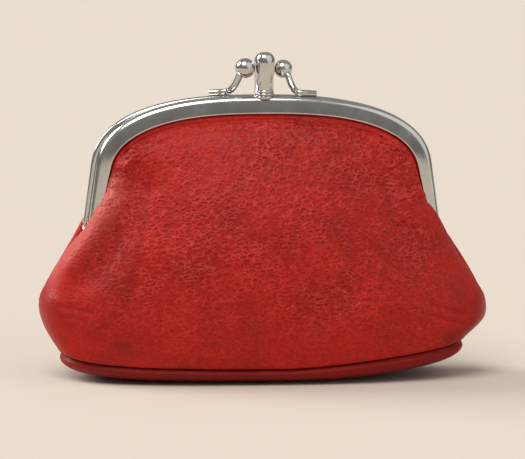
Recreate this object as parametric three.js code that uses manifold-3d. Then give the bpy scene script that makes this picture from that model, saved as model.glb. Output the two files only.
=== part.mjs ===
// Kiss-lock coin purse: a leather pouch on an arched metal frame whose two halves swing apart.
// Millimetres, +Z up, front facing -Y, origin on the table under the middle of the base.
import * as THREE from 'three';
import { mergeVertices } from 'three/addons/utils/BufferGeometryUtils.js';
import Module from 'manifold-3d';

const wasm = await Module();
wasm.setup();

// Frame outline, on the outside of one half
const crownHalfWidth = 46.2; // half width of the lines of the legs, at the height of the crown
const legSplay = 0.14; // sideways run of a leg for each millimetre that it drops
const shoulderDrop = 21; // height of the rounded crown and shoulders
const shoulderPower = 2.6; // squareness of the shoulders
const hingeHeight = 41.5; // hinge axis above the table
const frameRise = 41; // hinge axis to the top of the crown
const legEndRise = 3.2; // hinge axis to the lower end of the channel
const halfShift = 0.75; // each half stands this far to its own side, so that the tabs lap

// Frame channel
const sheet = 0.8;
const channelDepth = 4.95; // front to back
const faceHeight = 4.8; // outer wall
const innerWallHeight = 4.2;
const faceRoll = 1.6; // outside radius where the outer wall turns into the web
const innerRoll = 0.95;
const lipRoll = 1; // outside radius of the outer wall's rim, which turns in to the leather
const halfGap = 0.5; // between the closed halves

// Hinges
const tabThickness = 1.1;
const tabRadius = 2.6;
const tabLap = 1.4; // how far a tab runs up the leg
const tabNeckTurn = Math.PI * 0.2; // where the round of a tab runs into its neck
const rivetRadius = 0.95;
const rivetHeadRadius = 1.9;
const rivetHeadHeight = 0.8;
const rivetTailRadius = 1.5;
const rivetTailHeight = 0.5;
const rivetTailBevel = 0.45;

// Clearances
const runningFit = 0.15; // round a rivet, a stud or an arm in its hole
const seatGap = 0.2; // under a piece that sits on its neighbour
const layerGap = 0.25; // between layers of leather, stiffener and lining
const clampGap = 0.15; // between the layers held in the channel
const lipClear = 0.5; // between the leather and the rim of the outer wall
const studClear = 0.42; // between a stud's spread end and the channel's outer wall
const passGap = 0.1; // between a ball and the post that it goes past

// Clasp
const claspShift = 0.9; // the posts stand this far to the right of the middle
const postOffset = 0.275; // from the middle of the channel to the middle of a post
const postGap = 0.3; // between the two heads
const frontPostHeight = 12.8;
const frontStemRadius = 1.85;
const stemSwell = 0.45; // how gently the stem swells into the head
const rearPostHeight = 12.2;
const domeHeight = 3.3;
const studSpread = 0.18; // how far a stud's end is spread
const studTailHeight = 0.4;
const collarRadius = 2.6;
const collarHeight = 1.6;
const footRadius = 0.72; // an arm thickens from its foot to its ball
const neckRadius = 0.92;
const footDepth = 2.2; // from the parting plane to the middle of a foot
const frontBall = { radius: 2.7, rise: 7.3, past: 0.9 };
const rearBall = { radius: 2.9, rise: 8.2, past: 0.9 };
const frontFoot = { near: 11.2, far: 16.5 };
const rearFoot = { near: 10.6, far: 15.3 };
const socketDepth = 1.2;
const armBend = [[0.34, 0.1], [0.64, 0.37], [0.86, 0.72]]; // shares of the way and of the climb to a ball
const socketWay = { out: 0.55, back: 0.6, down: 0.75 }; // from a ball's middle to its arm

// Leather, board, lining and thread
const leather = 1.1;
const stiffener = 0.8;
const lining = 0.4;
const board = 1;
const threadRadius = 0.25;
const threadGap = 0.3; // between a seam's thread and the leather on either side
const sideClear = 0.2; // from the inner edges of the walls to the middle of the side seam

// Pouch
const baseFlare = 8.1; // how far the rim of the base reaches past the legs
const seamHalfDepth = 18.8;
const seamPower = 2.4;
const seamLow = 5; // rim of the base at the middle of the front
const seamHigh = 7.6; // and at its ends
const flatHalfWidth = 40; // the part of the base that stands on the table
const flatHalfDepth = 12;
const baseLift = 1.6; // how late the base turns up
const bellyDepth = 9.6; // how far the walls swell past a straight line from seam to frame
const bellyPower = 4;
const sideReach = 3; // how far in from its edges a wall follows them
const widestFlare = 14.3; // how far the widest part reaches past the legs
const widestHeight = 19.3;
const seamEndFlare = 6.8; // top of the side seam, past the legs
const seamEndDrop = 7; // and below the hinge
const slitFlare = 2; // the free edge past the legs, as it passes in front of the hinge
const slitDrop = 0.9;
const slitForward = 3; // and in front of the frame's face
const lipTurn = Math.PI * 0.18; // lean of the leather as it turns round the channel's rim
const sideThreadStart = 0.2; // share of the lowest row at which the side seam's thread starts
const sideSeamRows = 4; // rows of a wall that the side seam closes
const stiffenerRows = 4; // rows of a wall that the stiffener backs, from the foot up
const innerTrim = 3; // columns by which stiffener and lining stop short of a wall's side edges

// Facets
const archSteps = 36;
const crownShare = 0.75; // of the outline's parameter, on the crown and shoulders
const wallColumns = 22;
const wallRows = 8;
const topLevel = 0.93; // share of a wall's height at its last row below the channel
const seamPoints = 40;
const baseTurns = 4;
const liningTurns = 3;
const roundSteps = 16;
const armSteps = 18;
const armSides = 10;
const cordSides = 5;
const threadSides = 6;

// Sizes that follow from the ones above
const crownHeight = hingeHeight + frameRise;
const legDrop = frameRise - legEndRise;
const legEndHalf = crownHalfWidth + legSplay * legDrop;
const frontFace = -halfGap / 2 - channelDepth;
const hemFace = frontFace + lipRoll + clampGap;
const mouthInset = faceHeight + lipClear;
const lipFace = frontFace - lipClear;
const hemInset = sheet + seatGap + studTailHeight + clampGap;
const postDepth = halfGap / 2 + channelDepth / 2 + postOffset;
const postHeadRadius = postDepth - postGap / 2;
const studTailRadius = channelDepth / 2 - sheet - postOffset - studClear;
const studRadius = studTailRadius - studSpread;
const hemLiningDepth = leather + clampGap;
const cordFace = hemFace + hemLiningDepth + lining + clampGap;
const cordRadius = (-halfGap / 2 - sheet - clampGap - cordFace) / 2;
const stiffenerDepth = leather + layerGap;
const liningDepth = stiffenerDepth + stiffener + layerGap;
const boardHeight = leather + layerGap;
const baseLiningDepth = boardHeight + board + layerGap;
const seamGap = 2 * (threadRadius + threadGap);
const sideEdge = leather + sideClear;
const seamHalfWidth = legEndHalf + baseFlare;

// Finishes
const nickel = { color: 0xc6c6ca, roughness: 0.14, metalness: 1 };
const redLeather = { color: 0xb22c26, roughness: 0.5, metalness: 0 };
const baseLeather = { color: 0x8a221d, roughness: 0.55, metalness: 0 };
const redThread = { color: 0x5e1512, roughness: 0.8, metalness: 0 };
const paper = { color: 0xc9b48c, roughness: 0.9, metalness: 0 };
const card = { color: 0x8e7a5c, roughness: 0.9, metalness: 0 };
const liningCloth = { color: 0x6e2420, roughness: 0.85, metalness: 0 };

// Outline of a frame half from the left leg over the crown to the right leg
class ArchCurve extends THREE.Curve {
  getPoint(t, target = new THREE.Vector3()) {
    const side = 2 * t - 1;
    const reach = Math.abs(side);
    const turn = Math.min(reach / crownShare, 1) * Math.PI / 2;
    const power = 2 / shoulderPower;
    const below = Math.max(reach - crownShare, 0) / (1 - crownShare);
    const rounded = shoulderDrop * (1 - Math.max(Math.cos(turn), 0) ** power);
    const drop = rounded + below * (legDrop - shoulderDrop);
    const half = (crownHalfWidth + legSplay * drop) * Math.sin(turn) ** power;
    return target.set(Math.sign(side) * half + halfShift, 0, crownHeight - drop);
  }
}
const arch = new ArchCurve();
arch.arcLengthDivisions = 400;

// Point at a share of the arch's length, moved towards the inside of the arch
function archPoint(share, inset, y) {
  const point = arch.getPointAt(share);
  const along = arch.getTangentAt(share);
  return new THREE.Vector3(point.x + along.z * inset, y, point.z - along.x * inset);
}

// Height of the crown's outside at a distance from the middle of its half
function crownAt(x) {
  const share = (1 - (Math.abs(x) / crownHalfWidth) ** shoulderPower) ** (1 / shoulderPower);
  return crownHeight - shoulderDrop * (1 - share);
}

// Triangles that fill a flat outline, in the direction of its points
function fillOutline(outline) {
  const faces = THREE.ShapeUtils.triangulateShape(outline.slice(), []);
  return THREE.ShapeUtils.area(outline) < 0 ? faces.map(([a, b, c]) => [a, c, b]) : faces;
}

// Triangles that fill a ring which runs out along one face of a sheet and back along the other
function fillStrip(size) {
  const faces = [];
  for (let k = 0; k < size / 2 - 1; k += 1) {
    faces.push([k, k + 1, size - 2 - k], [k, size - 2 - k, size - 1 - k]);
  }
  return faces;
}

// Bands of triangles between rings of points. On a sheet both faces are split alike, so that
// layers with the same rows stay parallel.
function bandFaces(rings, isRound, isSheet) {
  const size = rings[0].length;
  const faces = [];
  for (let ring = 0; ring < rings.length - (isRound ? 0 : 1); ring += 1) {
    const here = ring * size;
    const next = ((ring + 1) % rings.length) * size;
    for (let k = 0; k < size; k += 1) {
      const after = (k + 1) % size;
      if (isSheet && k >= size / 2) {
        faces.push([here + k, here + after, next + k], [here + after, next + after, next + k]);
      } else {
        faces.push([here + k, here + after, next + after], [here + k, next + after, next + k]);
      }
    }
  }
  return faces;
}

// Geometry of a closed body, turned the right way out
function closedGeometry(points, faces) {
  const corner = new THREE.Vector3();
  let volume = 0;
  for (const [a, b, c] of faces) {
    volume += points[a].dot(corner.crossVectors(points[b], points[c]));
  }
  const outward = volume < 0 ? faces.map(([a, b, c]) => [a, c, b]) : faces;
  const geometry = new THREE.BufferGeometry().setFromPoints(points);
  geometry.setIndex(outward.flat());
  return geometry;
}

// Closed body through rings of points, with the triangles that fill its first and last ring
function loft(rings, startFill, endFill, isSheet = false) {
  const last = (rings.length - 1) * rings[0].length;
  return closedGeometry(rings.flat(), [
    ...bandFaces(rings, false, isSheet),
    ...startFill.map(([a, b, c]) => [a, c, b]),
    ...endFill.map((face) => face.map((corner) => corner + last)),
  ]);
}

function roundLoft(rings) {
  return closedGeometry(rings.flat(), bandFaces(rings, true, false));
}

function toSolid(geometry) {
  const bare = new THREE.BufferGeometry();
  bare.setAttribute('position', geometry.getAttribute('position').clone());
  if (geometry.index) bare.setIndex(geometry.index.clone());
  const merged = mergeVertices(bare, 1e-4);
  return new wasm.Manifold(new wasm.Mesh({
    numProp: 3,
    vertProperties: new Float32Array(merged.getAttribute('position').array),
    triVerts: new Uint32Array(merged.index.array),
  }));
}

function toGeometry(solid) {
  const mesh = solid.getMesh();
  const geometry = new THREE.BufferGeometry();
  geometry.setAttribute('position', new THREE.BufferAttribute(mesh.vertProperties, 3));
  geometry.setIndex(new THREE.BufferAttribute(mesh.triVerts, 1));
  return geometry;
}

// Turned piece standing on the Z axis, from pairs of radius and height
function turned(profile) {
  const points = profile.map(([radius, height]) => new THREE.Vector2(radius, height));
  return new THREE.LatheGeometry(points, roundSteps).rotateX(Math.PI / 2);
}

function quarterRound(centreX, centreY, radius, startAngle, endAngle, clockwise, steps) {
  const arc = new THREE.EllipseCurve(
    centreX, centreY, radius, radius, startAngle, endAngle, clockwise);
  return arc.getPoints(steps);
}

// Section of the channel: x runs from the outer face to the inner one, y from the web inwards
function channelSection() {
  const point = (x, y) => new THREE.Vector2(x, y);
  const back = channelDepth;
  return [
    ...quarterRound(lipRoll, faceHeight - lipRoll, lipRoll, Math.PI / 2, Math.PI, false, 3),
    ...quarterRound(faceRoll, faceRoll, faceRoll, Math.PI, Math.PI * 1.5, false, 4),
    ...quarterRound(back - innerRoll, innerRoll, innerRoll, -Math.PI / 2, 0, false, 2),
    point(back, innerWallHeight),
    point(back - sheet, innerWallHeight),
    point(back - sheet, sheet),
    ...quarterRound(faceRoll, faceRoll, faceRoll - sheet, Math.PI * 1.5, Math.PI, true, 2),
    point(sheet, faceHeight - lipRoll),
    point(lipRoll, faceHeight - sheet),
  ];
}

// Hinge tab in the plane of the leg's web: a neck off the channel with a round end on the axis
function tabSolid(outerX) {
  const back = -halfGap / 2;
  const shape = new THREE.Shape();
  shape.moveTo(frontFace + faceRoll / 2, legEndRise + tabLap);
  shape.lineTo(frontFace + faceRoll / 2, legEndRise);
  shape.absarc(0, 0, tabRadius, Math.PI, Math.PI * 2 + tabNeckTurn, false);
  shape.lineTo(back - innerRoll / 2, legEndRise);
  shape.lineTo(back - innerRoll / 2, legEndRise + tabLap);
  const hole = new THREE.Path();
  hole.absarc(0, 0, rivetRadius + runningFit, 0, Math.PI * 2, true);
  shape.holes.push(hole);
  const settings = { depth: tabThickness, bevelEnabled: false, curveSegments: roundSteps / 2 };
  const plate = new THREE.ExtrudeGeometry(shape, settings);
  const stand = new THREE.Matrix4().makeBasis(
    new THREE.Vector3(0, 1, 0), new THREE.Vector3(0, 0, 1), new THREE.Vector3(1, 0, 0));
  plate.applyMatrix4(stand);
  return toSolid(plate.translate(outerX, 0, hingeHeight));
}

// Frame half in the place of the front one, with the hole for its post
function frameGeometry(postX) {
  const section = channelSection();
  const rings = [];
  for (let step = 0; step <= archSteps; step += 1) {
    const share = step / archSteps;
    rings.push(section.map((p) => archPoint(share, p.y, frontFace + p.x)));
  }
  const hole = new THREE.CylinderGeometry(
    studRadius + runningFit, studRadius + runningFit, 4 * sheet, roundSteps);
  hole.rotateX(Math.PI / 2).translate(postX, -postDepth, crownHeight - sheet / 2);
  const leftTab = tabSolid(halfShift - legEndHalf);
  const rightTab = tabSolid(halfShift + legEndHalf - tabThickness);
  const ends = fillOutline(section);
  const channel = toSolid(loft(rings, ends, ends));
  return toGeometry(channel.add(leftTab).add(rightTab).subtract(toSolid(hole)));
}

// Paper cord that wedges the layers into the channel, in the place of the front one
function cordGeometry() {
  const inset = (hemInset + innerWallHeight) / 2 + clampGap;
  const y = cordFace + cordRadius;
  const rings = [];
  const outline = [];
  for (let k = 0; k < cordSides; k += 1) {
    const angle = k / cordSides * Math.PI * 2;
    outline.push(new THREE.Vector2(Math.cos(angle), Math.sin(angle)).multiplyScalar(cordRadius));
  }
  const margin = 0.01;
  for (let step = 0; step <= archSteps; step += 1) {
    const share = margin + (1 - 2 * margin) * step / archSteps;
    rings.push(outline.map((p) => archPoint(share, inset + p.y, y + p.x)));
  }
  const ends = fillOutline(outline);
  return loft(rings, ends, ends);
}

// Rivet of the right hinge: a domed head outside the outer tab and a spread tail inside the inner
function rivetGeometry() {
  const outer = legEndHalf + halfShift + runningFit;
  const inner = legEndHalf - halfShift - tabThickness - runningFit;
  const head = new THREE.EllipseCurve(
    0, outer, rivetHeadRadius, rivetHeadHeight, 0, Math.PI / 2, false).getPoints(4);
  const profile = [
    [0, inner - rivetTailHeight],
    [rivetTailRadius - rivetTailBevel, inner - rivetTailHeight],
    [rivetTailRadius, inner - rivetTailHeight / 2],
    [rivetTailRadius, inner],
    [rivetRadius, inner],
    [rivetRadius, outer],
    ...head.slice(0, -1).map((p) => [p.x, p.y]),
    [0, outer + rivetHeadHeight],
  ];
  return turned(profile).rotateY(Math.PI / 2).translate(0, 0, hingeHeight);
}

// Stud below a post: through the web, with its end spread under it
function studProfile() {
  const under = -sheet - seatGap;
  return [
    [0, under - studTailHeight],
    [studTailRadius, under - studTailHeight],
    [studTailRadius, under],
    [studRadius, under],
    [studRadius, seatGap],
  ];
}

function domeProfile(radius, top) {
  const dome = new THREE.EllipseCurve(
    0, top - domeHeight, radius, domeHeight, 0, Math.PI / 2, false).getPoints(5);
  return [...dome.slice(0, -1).map((p) => [p.x, p.y]), [0, top]];
}

// Front post: a slim stem out of its collar that swells into a tall head
function frontPostGeometry() {
  const neck = collarHeight + seatGap;
  const shoulder = frontPostHeight - domeHeight;
  const swell = new THREE.CubicBezierCurve(
    new THREE.Vector2(frontStemRadius, neck),
    new THREE.Vector2(frontStemRadius, neck + (shoulder - neck) * stemSwell),
    new THREE.Vector2(postHeadRadius, neck + (shoulder - neck) * stemSwell),
    new THREE.Vector2(postHeadRadius, shoulder));
  return turned([
    ...studProfile(),
    [frontStemRadius, seatGap],
    ...swell.getPoints(6).slice(0, -1).map((p) => [p.x, p.y]),
    ...domeProfile(postHeadRadius, frontPostHeight),
  ]);
}

function rearPostGeometry() {
  return turned([
    ...studProfile(),
    [postHeadRadius, seatGap],
    ...domeProfile(postHeadRadius, rearPostHeight),
  ]);
}

// Ring of two beads round the foot of the front post
function collarGeometry() {
  const bore = frontStemRadius + runningFit;
  const bead = collarHeight / 4;
  const outline = [[bore, seatGap]];
  for (const [index, radius] of [collarRadius, collarRadius - bead / 3].entries()) {
    const middle = seatGap + bead * (1 + 2 * index);
    const round = new THREE.EllipseCurve(
      radius - bead, middle, bead, bead, -Math.PI / 2, Math.PI / 2, false);
    outline.push(...round.getPoints(3).slice(index).map((p) => [p.x, p.y]));
  }
  outline.push([bore, seatGap + collarHeight], [bore, seatGap]);
  return turned(outline);
}

// Round wire along a curve, whose radius changes evenly from its start to its end
function wireGeometry(path, steps, sides, startRadius, endRadius) {
  const { normals, binormals } = path.computeFrenetFrames(steps, false);
  const outline = Array.from({ length: sides }, (unused, k) => new THREE.Vector2(
    Math.cos(k / sides * Math.PI * 2), Math.sin(k / sides * Math.PI * 2)));
  const rings = path.getSpacedPoints(steps).map((point, step) => {
    const radius = THREE.MathUtils.lerp(startRadius, endRadius, step / steps);
    return outline.map((p) => point.clone()
      .addScaledVector(normals[step], p.x * radius)
      .addScaledVector(binormals[step], p.y * radius));
  });
  const ends = fillOutline(outline);
  return loft(rings, ends, ends);
}

// Clasp arm and its ball. Side is +1 for the arm on the right, whose foot lies on the front half
// and whose ball hooks behind the rear post, and -1 for the other one, turned round.
function claspPair(side, foot, ball) {
  const footY = -side * footDepth;
  const seat = seatGap + footRadius;
  const centre = new THREE.Vector3(
    claspShift + side * (postHeadRadius + passGap + ball.radius),
    side * (postDepth + ball.past),
    crownHeight + ball.rise);
  const onFrame = (distance) => new THREE.Vector3(
    side * distance, footY, crownAt(distance - halfShift) + seat);
  const start = onFrame(foot.far);
  const flat = onFrame(foot.near);
  const entry = new THREE.Vector3(
    side * socketWay.out, -side * socketWay.back, -socketWay.down).normalize();
  const neck = centre.clone().addScaledVector(entry, ball.radius);
  const end = centre.clone().addScaledVector(entry, ball.radius - socketDepth);
  const bends = armBend.map(([way, climb]) => flat.clone().lerp(neck, way)
    .setZ(THREE.MathUtils.lerp(flat.z, neck.z, climb)));
  const middle = start.clone().lerp(flat, 0.5);
  const path = new THREE.CatmullRomCurve3([start, middle, flat, ...bends, neck, end]);
  const arm = wireGeometry(path, armSteps, armSides, footRadius, neckRadius);
  const socketLength = 2 * ball.radius;
  const drill = neckRadius + runningFit;
  const socket = new THREE.CylinderGeometry(drill, drill, socketLength, roundSteps);
  const tangent = path.getTangentAt(1);
  socket.applyQuaternion(new THREE.Quaternion().setFromUnitVectors(
    new THREE.Vector3(0, 1, 0), tangent));
  const bottom = end.clone().addScaledVector(tangent, runningFit - socketLength / 2);
  socket.translate(bottom.x, bottom.y, bottom.z);
  const sphere = new THREE.SphereGeometry(ball.radius, roundSteps, roundSteps / 2);
  sphere.translate(centre.x, centre.y, centre.z);
  return { arm, ball: toGeometry(toSolid(sphere).subtract(toSolid(socket))) };
}

// Signed power that squares up an ellipse
function squared(value) {
  return Math.sign(value) * Math.abs(value) ** (2 / seamPower);
}

function seamHeight(x) {
  return seamLow + (seamHigh - seamLow) * Math.min(Math.abs(x) / seamHalfWidth, 1) ** 2;
}

// Lower edge of the front wall, with share running from -1 at the left to 1 at the right
function wallFoot(share) {
  const angle = share * Math.PI / 2;
  const x = seamHalfWidth * squared(Math.sin(angle));
  const y = -sideEdge - seamHalfDepth * squared(Math.max(Math.cos(angle), 0));
  return new THREE.Vector3(x, y, seamHeight(x) + seamGap);
}

// Side edge of the front wall, up the side seam and then free, in front of the hinge
function wallEdge(side) {
  const seamY = -sideEdge;
  const mouth = archPoint((1 + side) / 2, mouthInset, hemFace);
  return new THREE.CatmullRomCurve3([
    wallFoot(side),
    new THREE.Vector3(side * (legEndHalf + widestFlare), seamY, widestHeight),
    new THREE.Vector3(side * (legEndHalf + seamEndFlare), seamY, hingeHeight - seamEndDrop),
    new THREE.Vector3(side * (legEndHalf + slitFlare), frontFace - slitForward, hingeHeight - slitDrop),
    mouth,
  ]);
}
const wallEdges = { left: wallEdge(-1), right: wallEdge(1) };

// Outer face of the front wall from its foot at height 0 to the mouth of the channel at height 1
function wallFace(share, height) {
  const side = Math.sign(share) || 1;
  const edge = (side < 0 ? wallEdges.left : wallEdges.right).getPointAt(height);
  const mouth = (s) => archPoint((1 + s) / 2, mouthInset, hemFace);
  const point = wallFoot(share).lerp(mouth(share), height);
  const corner = wallFoot(side).lerp(mouth(side), height);
  point.addScaledVector(edge.sub(corner), Math.abs(share) ** sideReach);
  const belly = 4 * bellyDepth * height * (1 - height);
  point.y -= belly * (1 - Math.abs(share) ** bellyPower);
  return point;
}

// The same face moved inwards, square to itself
function wallLayer(share, height, depth) {
  const step = 0.01;
  const across = wallFace(Math.min(share + step, 1), height)
    .sub(wallFace(Math.max(share - step, -1), height));
  const up = wallFace(share, Math.min(height + step, 1))
    .sub(wallFace(share, Math.max(height - step, 0)));
  const inward = up.cross(across).normalize();
  return wallFace(share, height).addScaledVector(inward, depth);
}

// Strip of the same wall inside the channel
function hemLayer(share, inset, depth) {
  return archPoint((1 + share) / 2, inset, hemFace + depth);
}

// Turn of the same wall round the rim of the channel's outer wall
function lipLayer(share, depth) {
  const inset = mouthInset + Math.cos(lipTurn) * depth;
  return archPoint((1 + share) / 2, inset, lipFace + Math.sin(lipTurn) * depth);
}

// Shares of a height, evenly spaced
function levels(low, high, rows) {
  return Array.from({ length: rows + 1 }, (unused, row) => low + (high - low) * row / rows);
}

// Sheet that follows the front wall at a depth, over a number of rows up from its foot and, if it
// is hemmed, round the rim and into the channel
function wallSheet({ depthAt, thickness, rows, trim, hemmed }) {
  const shares = levels(-1, 1, wallColumns).slice(trim, wallColumns + 1 - trim);
  const back = shares.slice().reverse();
  const places = levels(0, topLevel, wallRows).slice(0, rows + 1).map(
    (level) => (share, extra) => wallLayer(share, level, depthAt(level) + extra));
  if (hemmed) {
    const depth = depthAt(1);
    places.push(
      (share, extra) => lipLayer(share, depth + extra),
      (share, extra) => hemLayer(share, mouthInset, depth + extra),
      (share, extra) => hemLayer(share, hemInset, depth + extra));
  }
  const rings = places.map((place) => [
    ...shares.map((share) => place(share, 0)),
    ...back.map((share) => place(share, thickness)),
  ]);
  const ends = fillStrip(2 * shares.length);
  return loft(rings, ends, ends, true);
}

function panelGeometry() {
  return wallSheet({
    depthAt: () => 0, thickness: leather, rows: wallRows, trim: 0, hemmed: true,
  });
}

function stiffenerGeometry() {
  return wallSheet({
    depthAt: () => stiffenerDepth,
    thickness: stiffener,
    rows: stiffenerRows,
    trim: innerTrim,
    hemmed: false,
  });
}

// Lining, which lies on the stiffener below and closes up to the leather above it
function liningGeometry() {
  const closes = topLevel * stiffenerRows / wallRows;
  const depthAt = (level) => THREE.MathUtils.lerp(
    liningDepth, hemLiningDepth, THREE.MathUtils.smoothstep(level, closes, 1));
  return wallSheet({
    depthAt, thickness: lining, rows: wallRows, trim: innerTrim, hemmed: true,
  });
}

// Outer face of the base, from the edge of its flat at turnUp 0 to its rim at turnUp 1
function baseFace(angle, turnUp) {
  const spread = Math.sin(turnUp * Math.PI / 2);
  const halfWidth = THREE.MathUtils.lerp(flatHalfWidth, seamHalfWidth, spread);
  const halfDepth = THREE.MathUtils.lerp(flatHalfDepth, seamHalfDepth, spread);
  const x = halfWidth * squared(Math.sin(angle));
  const y = -halfDepth * squared(Math.cos(angle));
  return new THREE.Vector3(x, y, seamHeight(x) * turnUp ** baseLift);
}

function baseLayer(angle, turnUp, depth) {
  const step = 0.01;
  const point = baseFace(angle, turnUp);
  if (turnUp === 0) return point.setZ(depth);
  const around = baseFace(angle + step, turnUp).sub(baseFace(angle - step, turnUp));
  const up = baseFace(angle, Math.min(turnUp + step, 1)).sub(baseFace(angle, turnUp - step));
  return point.addScaledVector(up.cross(around).normalize(), depth);
}

function seamAngles() {
  const offset = 0.5; // keeps the points off the squared corners of the ring
  return Array.from({ length: seamPoints }, (unused, k) => (k + offset) / seamPoints * Math.PI * 2);
}

// Dish that follows the base between two depths
function dishGeometry(outerDepth, innerDepth, steps) {
  const turns = levels(0, 1, steps);
  const ring = (turnUp, depth) => seamAngles().map((angle) => baseLayer(angle, turnUp, depth));
  const rings = [
    ...turns.map((turnUp) => ring(turnUp, outerDepth)),
    ...turns.slice().reverse().map((turnUp) => ring(turnUp, innerDepth)),
  ];
  const fill = (points) => fillOutline(points.map((p) => new THREE.Vector2(p.x, p.y)));
  return loft(rings, fill(rings[0]), fill(rings[rings.length - 1]));
}

function boardGeometry() {
  const outline = seamAngles().map((angle) => new THREE.Vector2(
    (flatHalfWidth - layerGap) * squared(Math.sin(angle)),
    -(flatHalfDepth - layerGap) * squared(Math.cos(angle))));
  const plate = new THREE.ExtrudeGeometry(
    new THREE.Shape(outline), { depth: board, bevelEnabled: false });
  return plate.translate(0, 0, boardHeight);
}

// Thread along a list of points, with a section along two directions at each
function threadRings(points, axesAt) {
  return points.map((point, k) => Array.from({ length: threadSides }, (unused, j) => {
    const angle = j / threadSides * Math.PI * 2;
    const [across, onward] = axesAt(k);
    return point.clone()
      .addScaledVector(across, Math.cos(angle) * threadRadius)
      .addScaledVector(onward, Math.sin(angle) * threadRadius);
  }));
}

function baseThreadGeometry() {
  const inset = leather / 2;
  const points = seamAngles().map((angle) => {
    const x = (seamHalfWidth - inset) * squared(Math.sin(angle));
    const y = -(seamHalfDepth - inset) * squared(Math.cos(angle));
    return new THREE.Vector3(x, y, seamHeight(x) + seamGap / 2);
  });
  const up = new THREE.Vector3(0, 0, 1);
  const outward = (k) => new THREE.Vector3(points[k].x / seamHalfWidth ** 2,
    points[k].y / seamHalfDepth ** 2, 0).normalize();
  return roundLoft(threadRings(points, (k) => [outward(k), up]));
}

// Thread of a side seam, clear of the inner edges of the two walls
function sideThreadGeometry(side) {
  const rows = levels(0, topLevel, wallRows).slice(0, sideSeamRows + 1);
  const points = rows.map((height) => {
    const inner = wallLayer(side, height, leather);
    const clear = Math.sqrt(Math.max((threadRadius + threadGap) ** 2 - inner.y ** 2, 0));
    return new THREE.Vector3(inner.x + side * clear, 0, inner.z);
  });
  points[0].lerp(points[1], sideThreadStart);
  const axes = [new THREE.Vector3(1, 0, 0), new THREE.Vector3(0, 1, 0)];
  const rings = threadRings(points, () => axes);
  const ends = fillOutline(rings[0].map((p) => new THREE.Vector2(p.x, p.y)));
  return loft(rings, ends, ends);
}

function addPiece(group, name, geometry, finish) {
  const mesh = new THREE.Mesh(geometry, new THREE.MeshStandardMaterial(finish));
  mesh.name = name;
  group.add(mesh);
  return mesh;
}

const purse = new THREE.Group();
const turnedRound = new THREE.Group(); // holds the copies that face the other way
turnedRound.rotation.z = Math.PI;
purse.add(turnedRound);

// Pouch
addPiece(purse, 'base_panel', dishGeometry(0, leather, baseTurns), baseLeather);
addPiece(purse, 'base_board', boardGeometry(), card);
const baseLiningDish = dishGeometry(baseLiningDepth, baseLiningDepth + lining, liningTurns);
addPiece(purse, 'base_lining', baseLiningDish, liningCloth);
addPiece(purse, 'base_seam_thread', baseThreadGeometry(), redThread);
addPiece(purse, 'left_side_seam_thread', sideThreadGeometry(-1), redThread);
addPiece(purse, 'right_side_seam_thread', sideThreadGeometry(1), redThread);
for (const [name, group] of [['front', purse], ['rear', turnedRound]]) {
  addPiece(group, `${name}_panel`, panelGeometry(), redLeather);
  addPiece(group, `${name}_stiffener`, stiffenerGeometry(), card);
  addPiece(group, `${name}_lining`, liningGeometry(), liningCloth);
}

// Frame
addPiece(purse, 'front_frame', frameGeometry(claspShift), nickel);
addPiece(turnedRound, 'rear_frame', frameGeometry(-claspShift), nickel);
addPiece(purse, 'front_packing_cord', cordGeometry(), paper);
addPiece(turnedRound, 'rear_packing_cord', cordGeometry(), paper);
addPiece(purse, 'right_hinge_rivet', rivetGeometry(), nickel);
addPiece(turnedRound, 'left_hinge_rivet', rivetGeometry(), nickel);

// Clasp
addPiece(purse, 'front_post', frontPostGeometry(), nickel)
  .position.set(claspShift, -postDepth, crownHeight);
addPiece(purse, 'front_post_collar', collarGeometry(), nickel)
  .position.set(claspShift, -postDepth, crownHeight);
addPiece(purse, 'rear_post', rearPostGeometry(), nickel)
  .position.set(claspShift, postDepth, crownHeight);
const frontPair = claspPair(1, frontFoot, frontBall);
addPiece(purse, 'front_clasp_arm', frontPair.arm, nickel);
addPiece(purse, 'front_clasp_ball', frontPair.ball, nickel);
const rearPair = claspPair(-1, rearFoot, rearBall);
addPiece(purse, 'rear_clasp_arm', rearPair.arm, nickel);
addPiece(purse, 'rear_clasp_ball', rearPair.ball, nickel);

export default purse;
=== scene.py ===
import math

import bmesh
import bpy
import numpy as np
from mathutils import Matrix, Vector


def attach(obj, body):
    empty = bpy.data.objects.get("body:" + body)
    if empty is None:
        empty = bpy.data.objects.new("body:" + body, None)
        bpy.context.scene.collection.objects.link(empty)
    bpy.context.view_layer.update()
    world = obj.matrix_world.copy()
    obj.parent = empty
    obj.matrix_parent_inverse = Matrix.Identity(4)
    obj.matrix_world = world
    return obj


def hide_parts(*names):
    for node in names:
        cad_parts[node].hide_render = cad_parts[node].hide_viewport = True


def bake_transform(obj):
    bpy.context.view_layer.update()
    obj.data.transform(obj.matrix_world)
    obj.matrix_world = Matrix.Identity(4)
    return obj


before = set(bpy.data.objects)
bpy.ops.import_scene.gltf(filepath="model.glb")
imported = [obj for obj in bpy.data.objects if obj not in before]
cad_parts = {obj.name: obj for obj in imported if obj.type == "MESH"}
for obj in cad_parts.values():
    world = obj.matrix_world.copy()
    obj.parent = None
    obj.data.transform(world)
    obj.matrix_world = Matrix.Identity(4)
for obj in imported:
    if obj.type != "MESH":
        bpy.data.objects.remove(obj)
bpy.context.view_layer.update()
mm = 0.001  # every size below is in millimetres unless a note says metres, and a mesh is in metres
print("frame loaded:", len(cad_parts), "nodes")


# helpers

def smoothStep(low, high, value):
    t = np.clip((np.asarray(value, float) - low) / (high - low), 0, 1)
    return t * t * (3 - 2 * t)


def mix(a, b, share):
    return a * (1 - share) + b * share


def hump(value, middle, width):  # smooth hump of height 1
    return np.exp(-((value - middle) / width) ** 2)


def unit(ways):
    return ways / np.maximum(np.linalg.norm(ways, axis=-1, keepdims=True), 1e-9)


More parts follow.
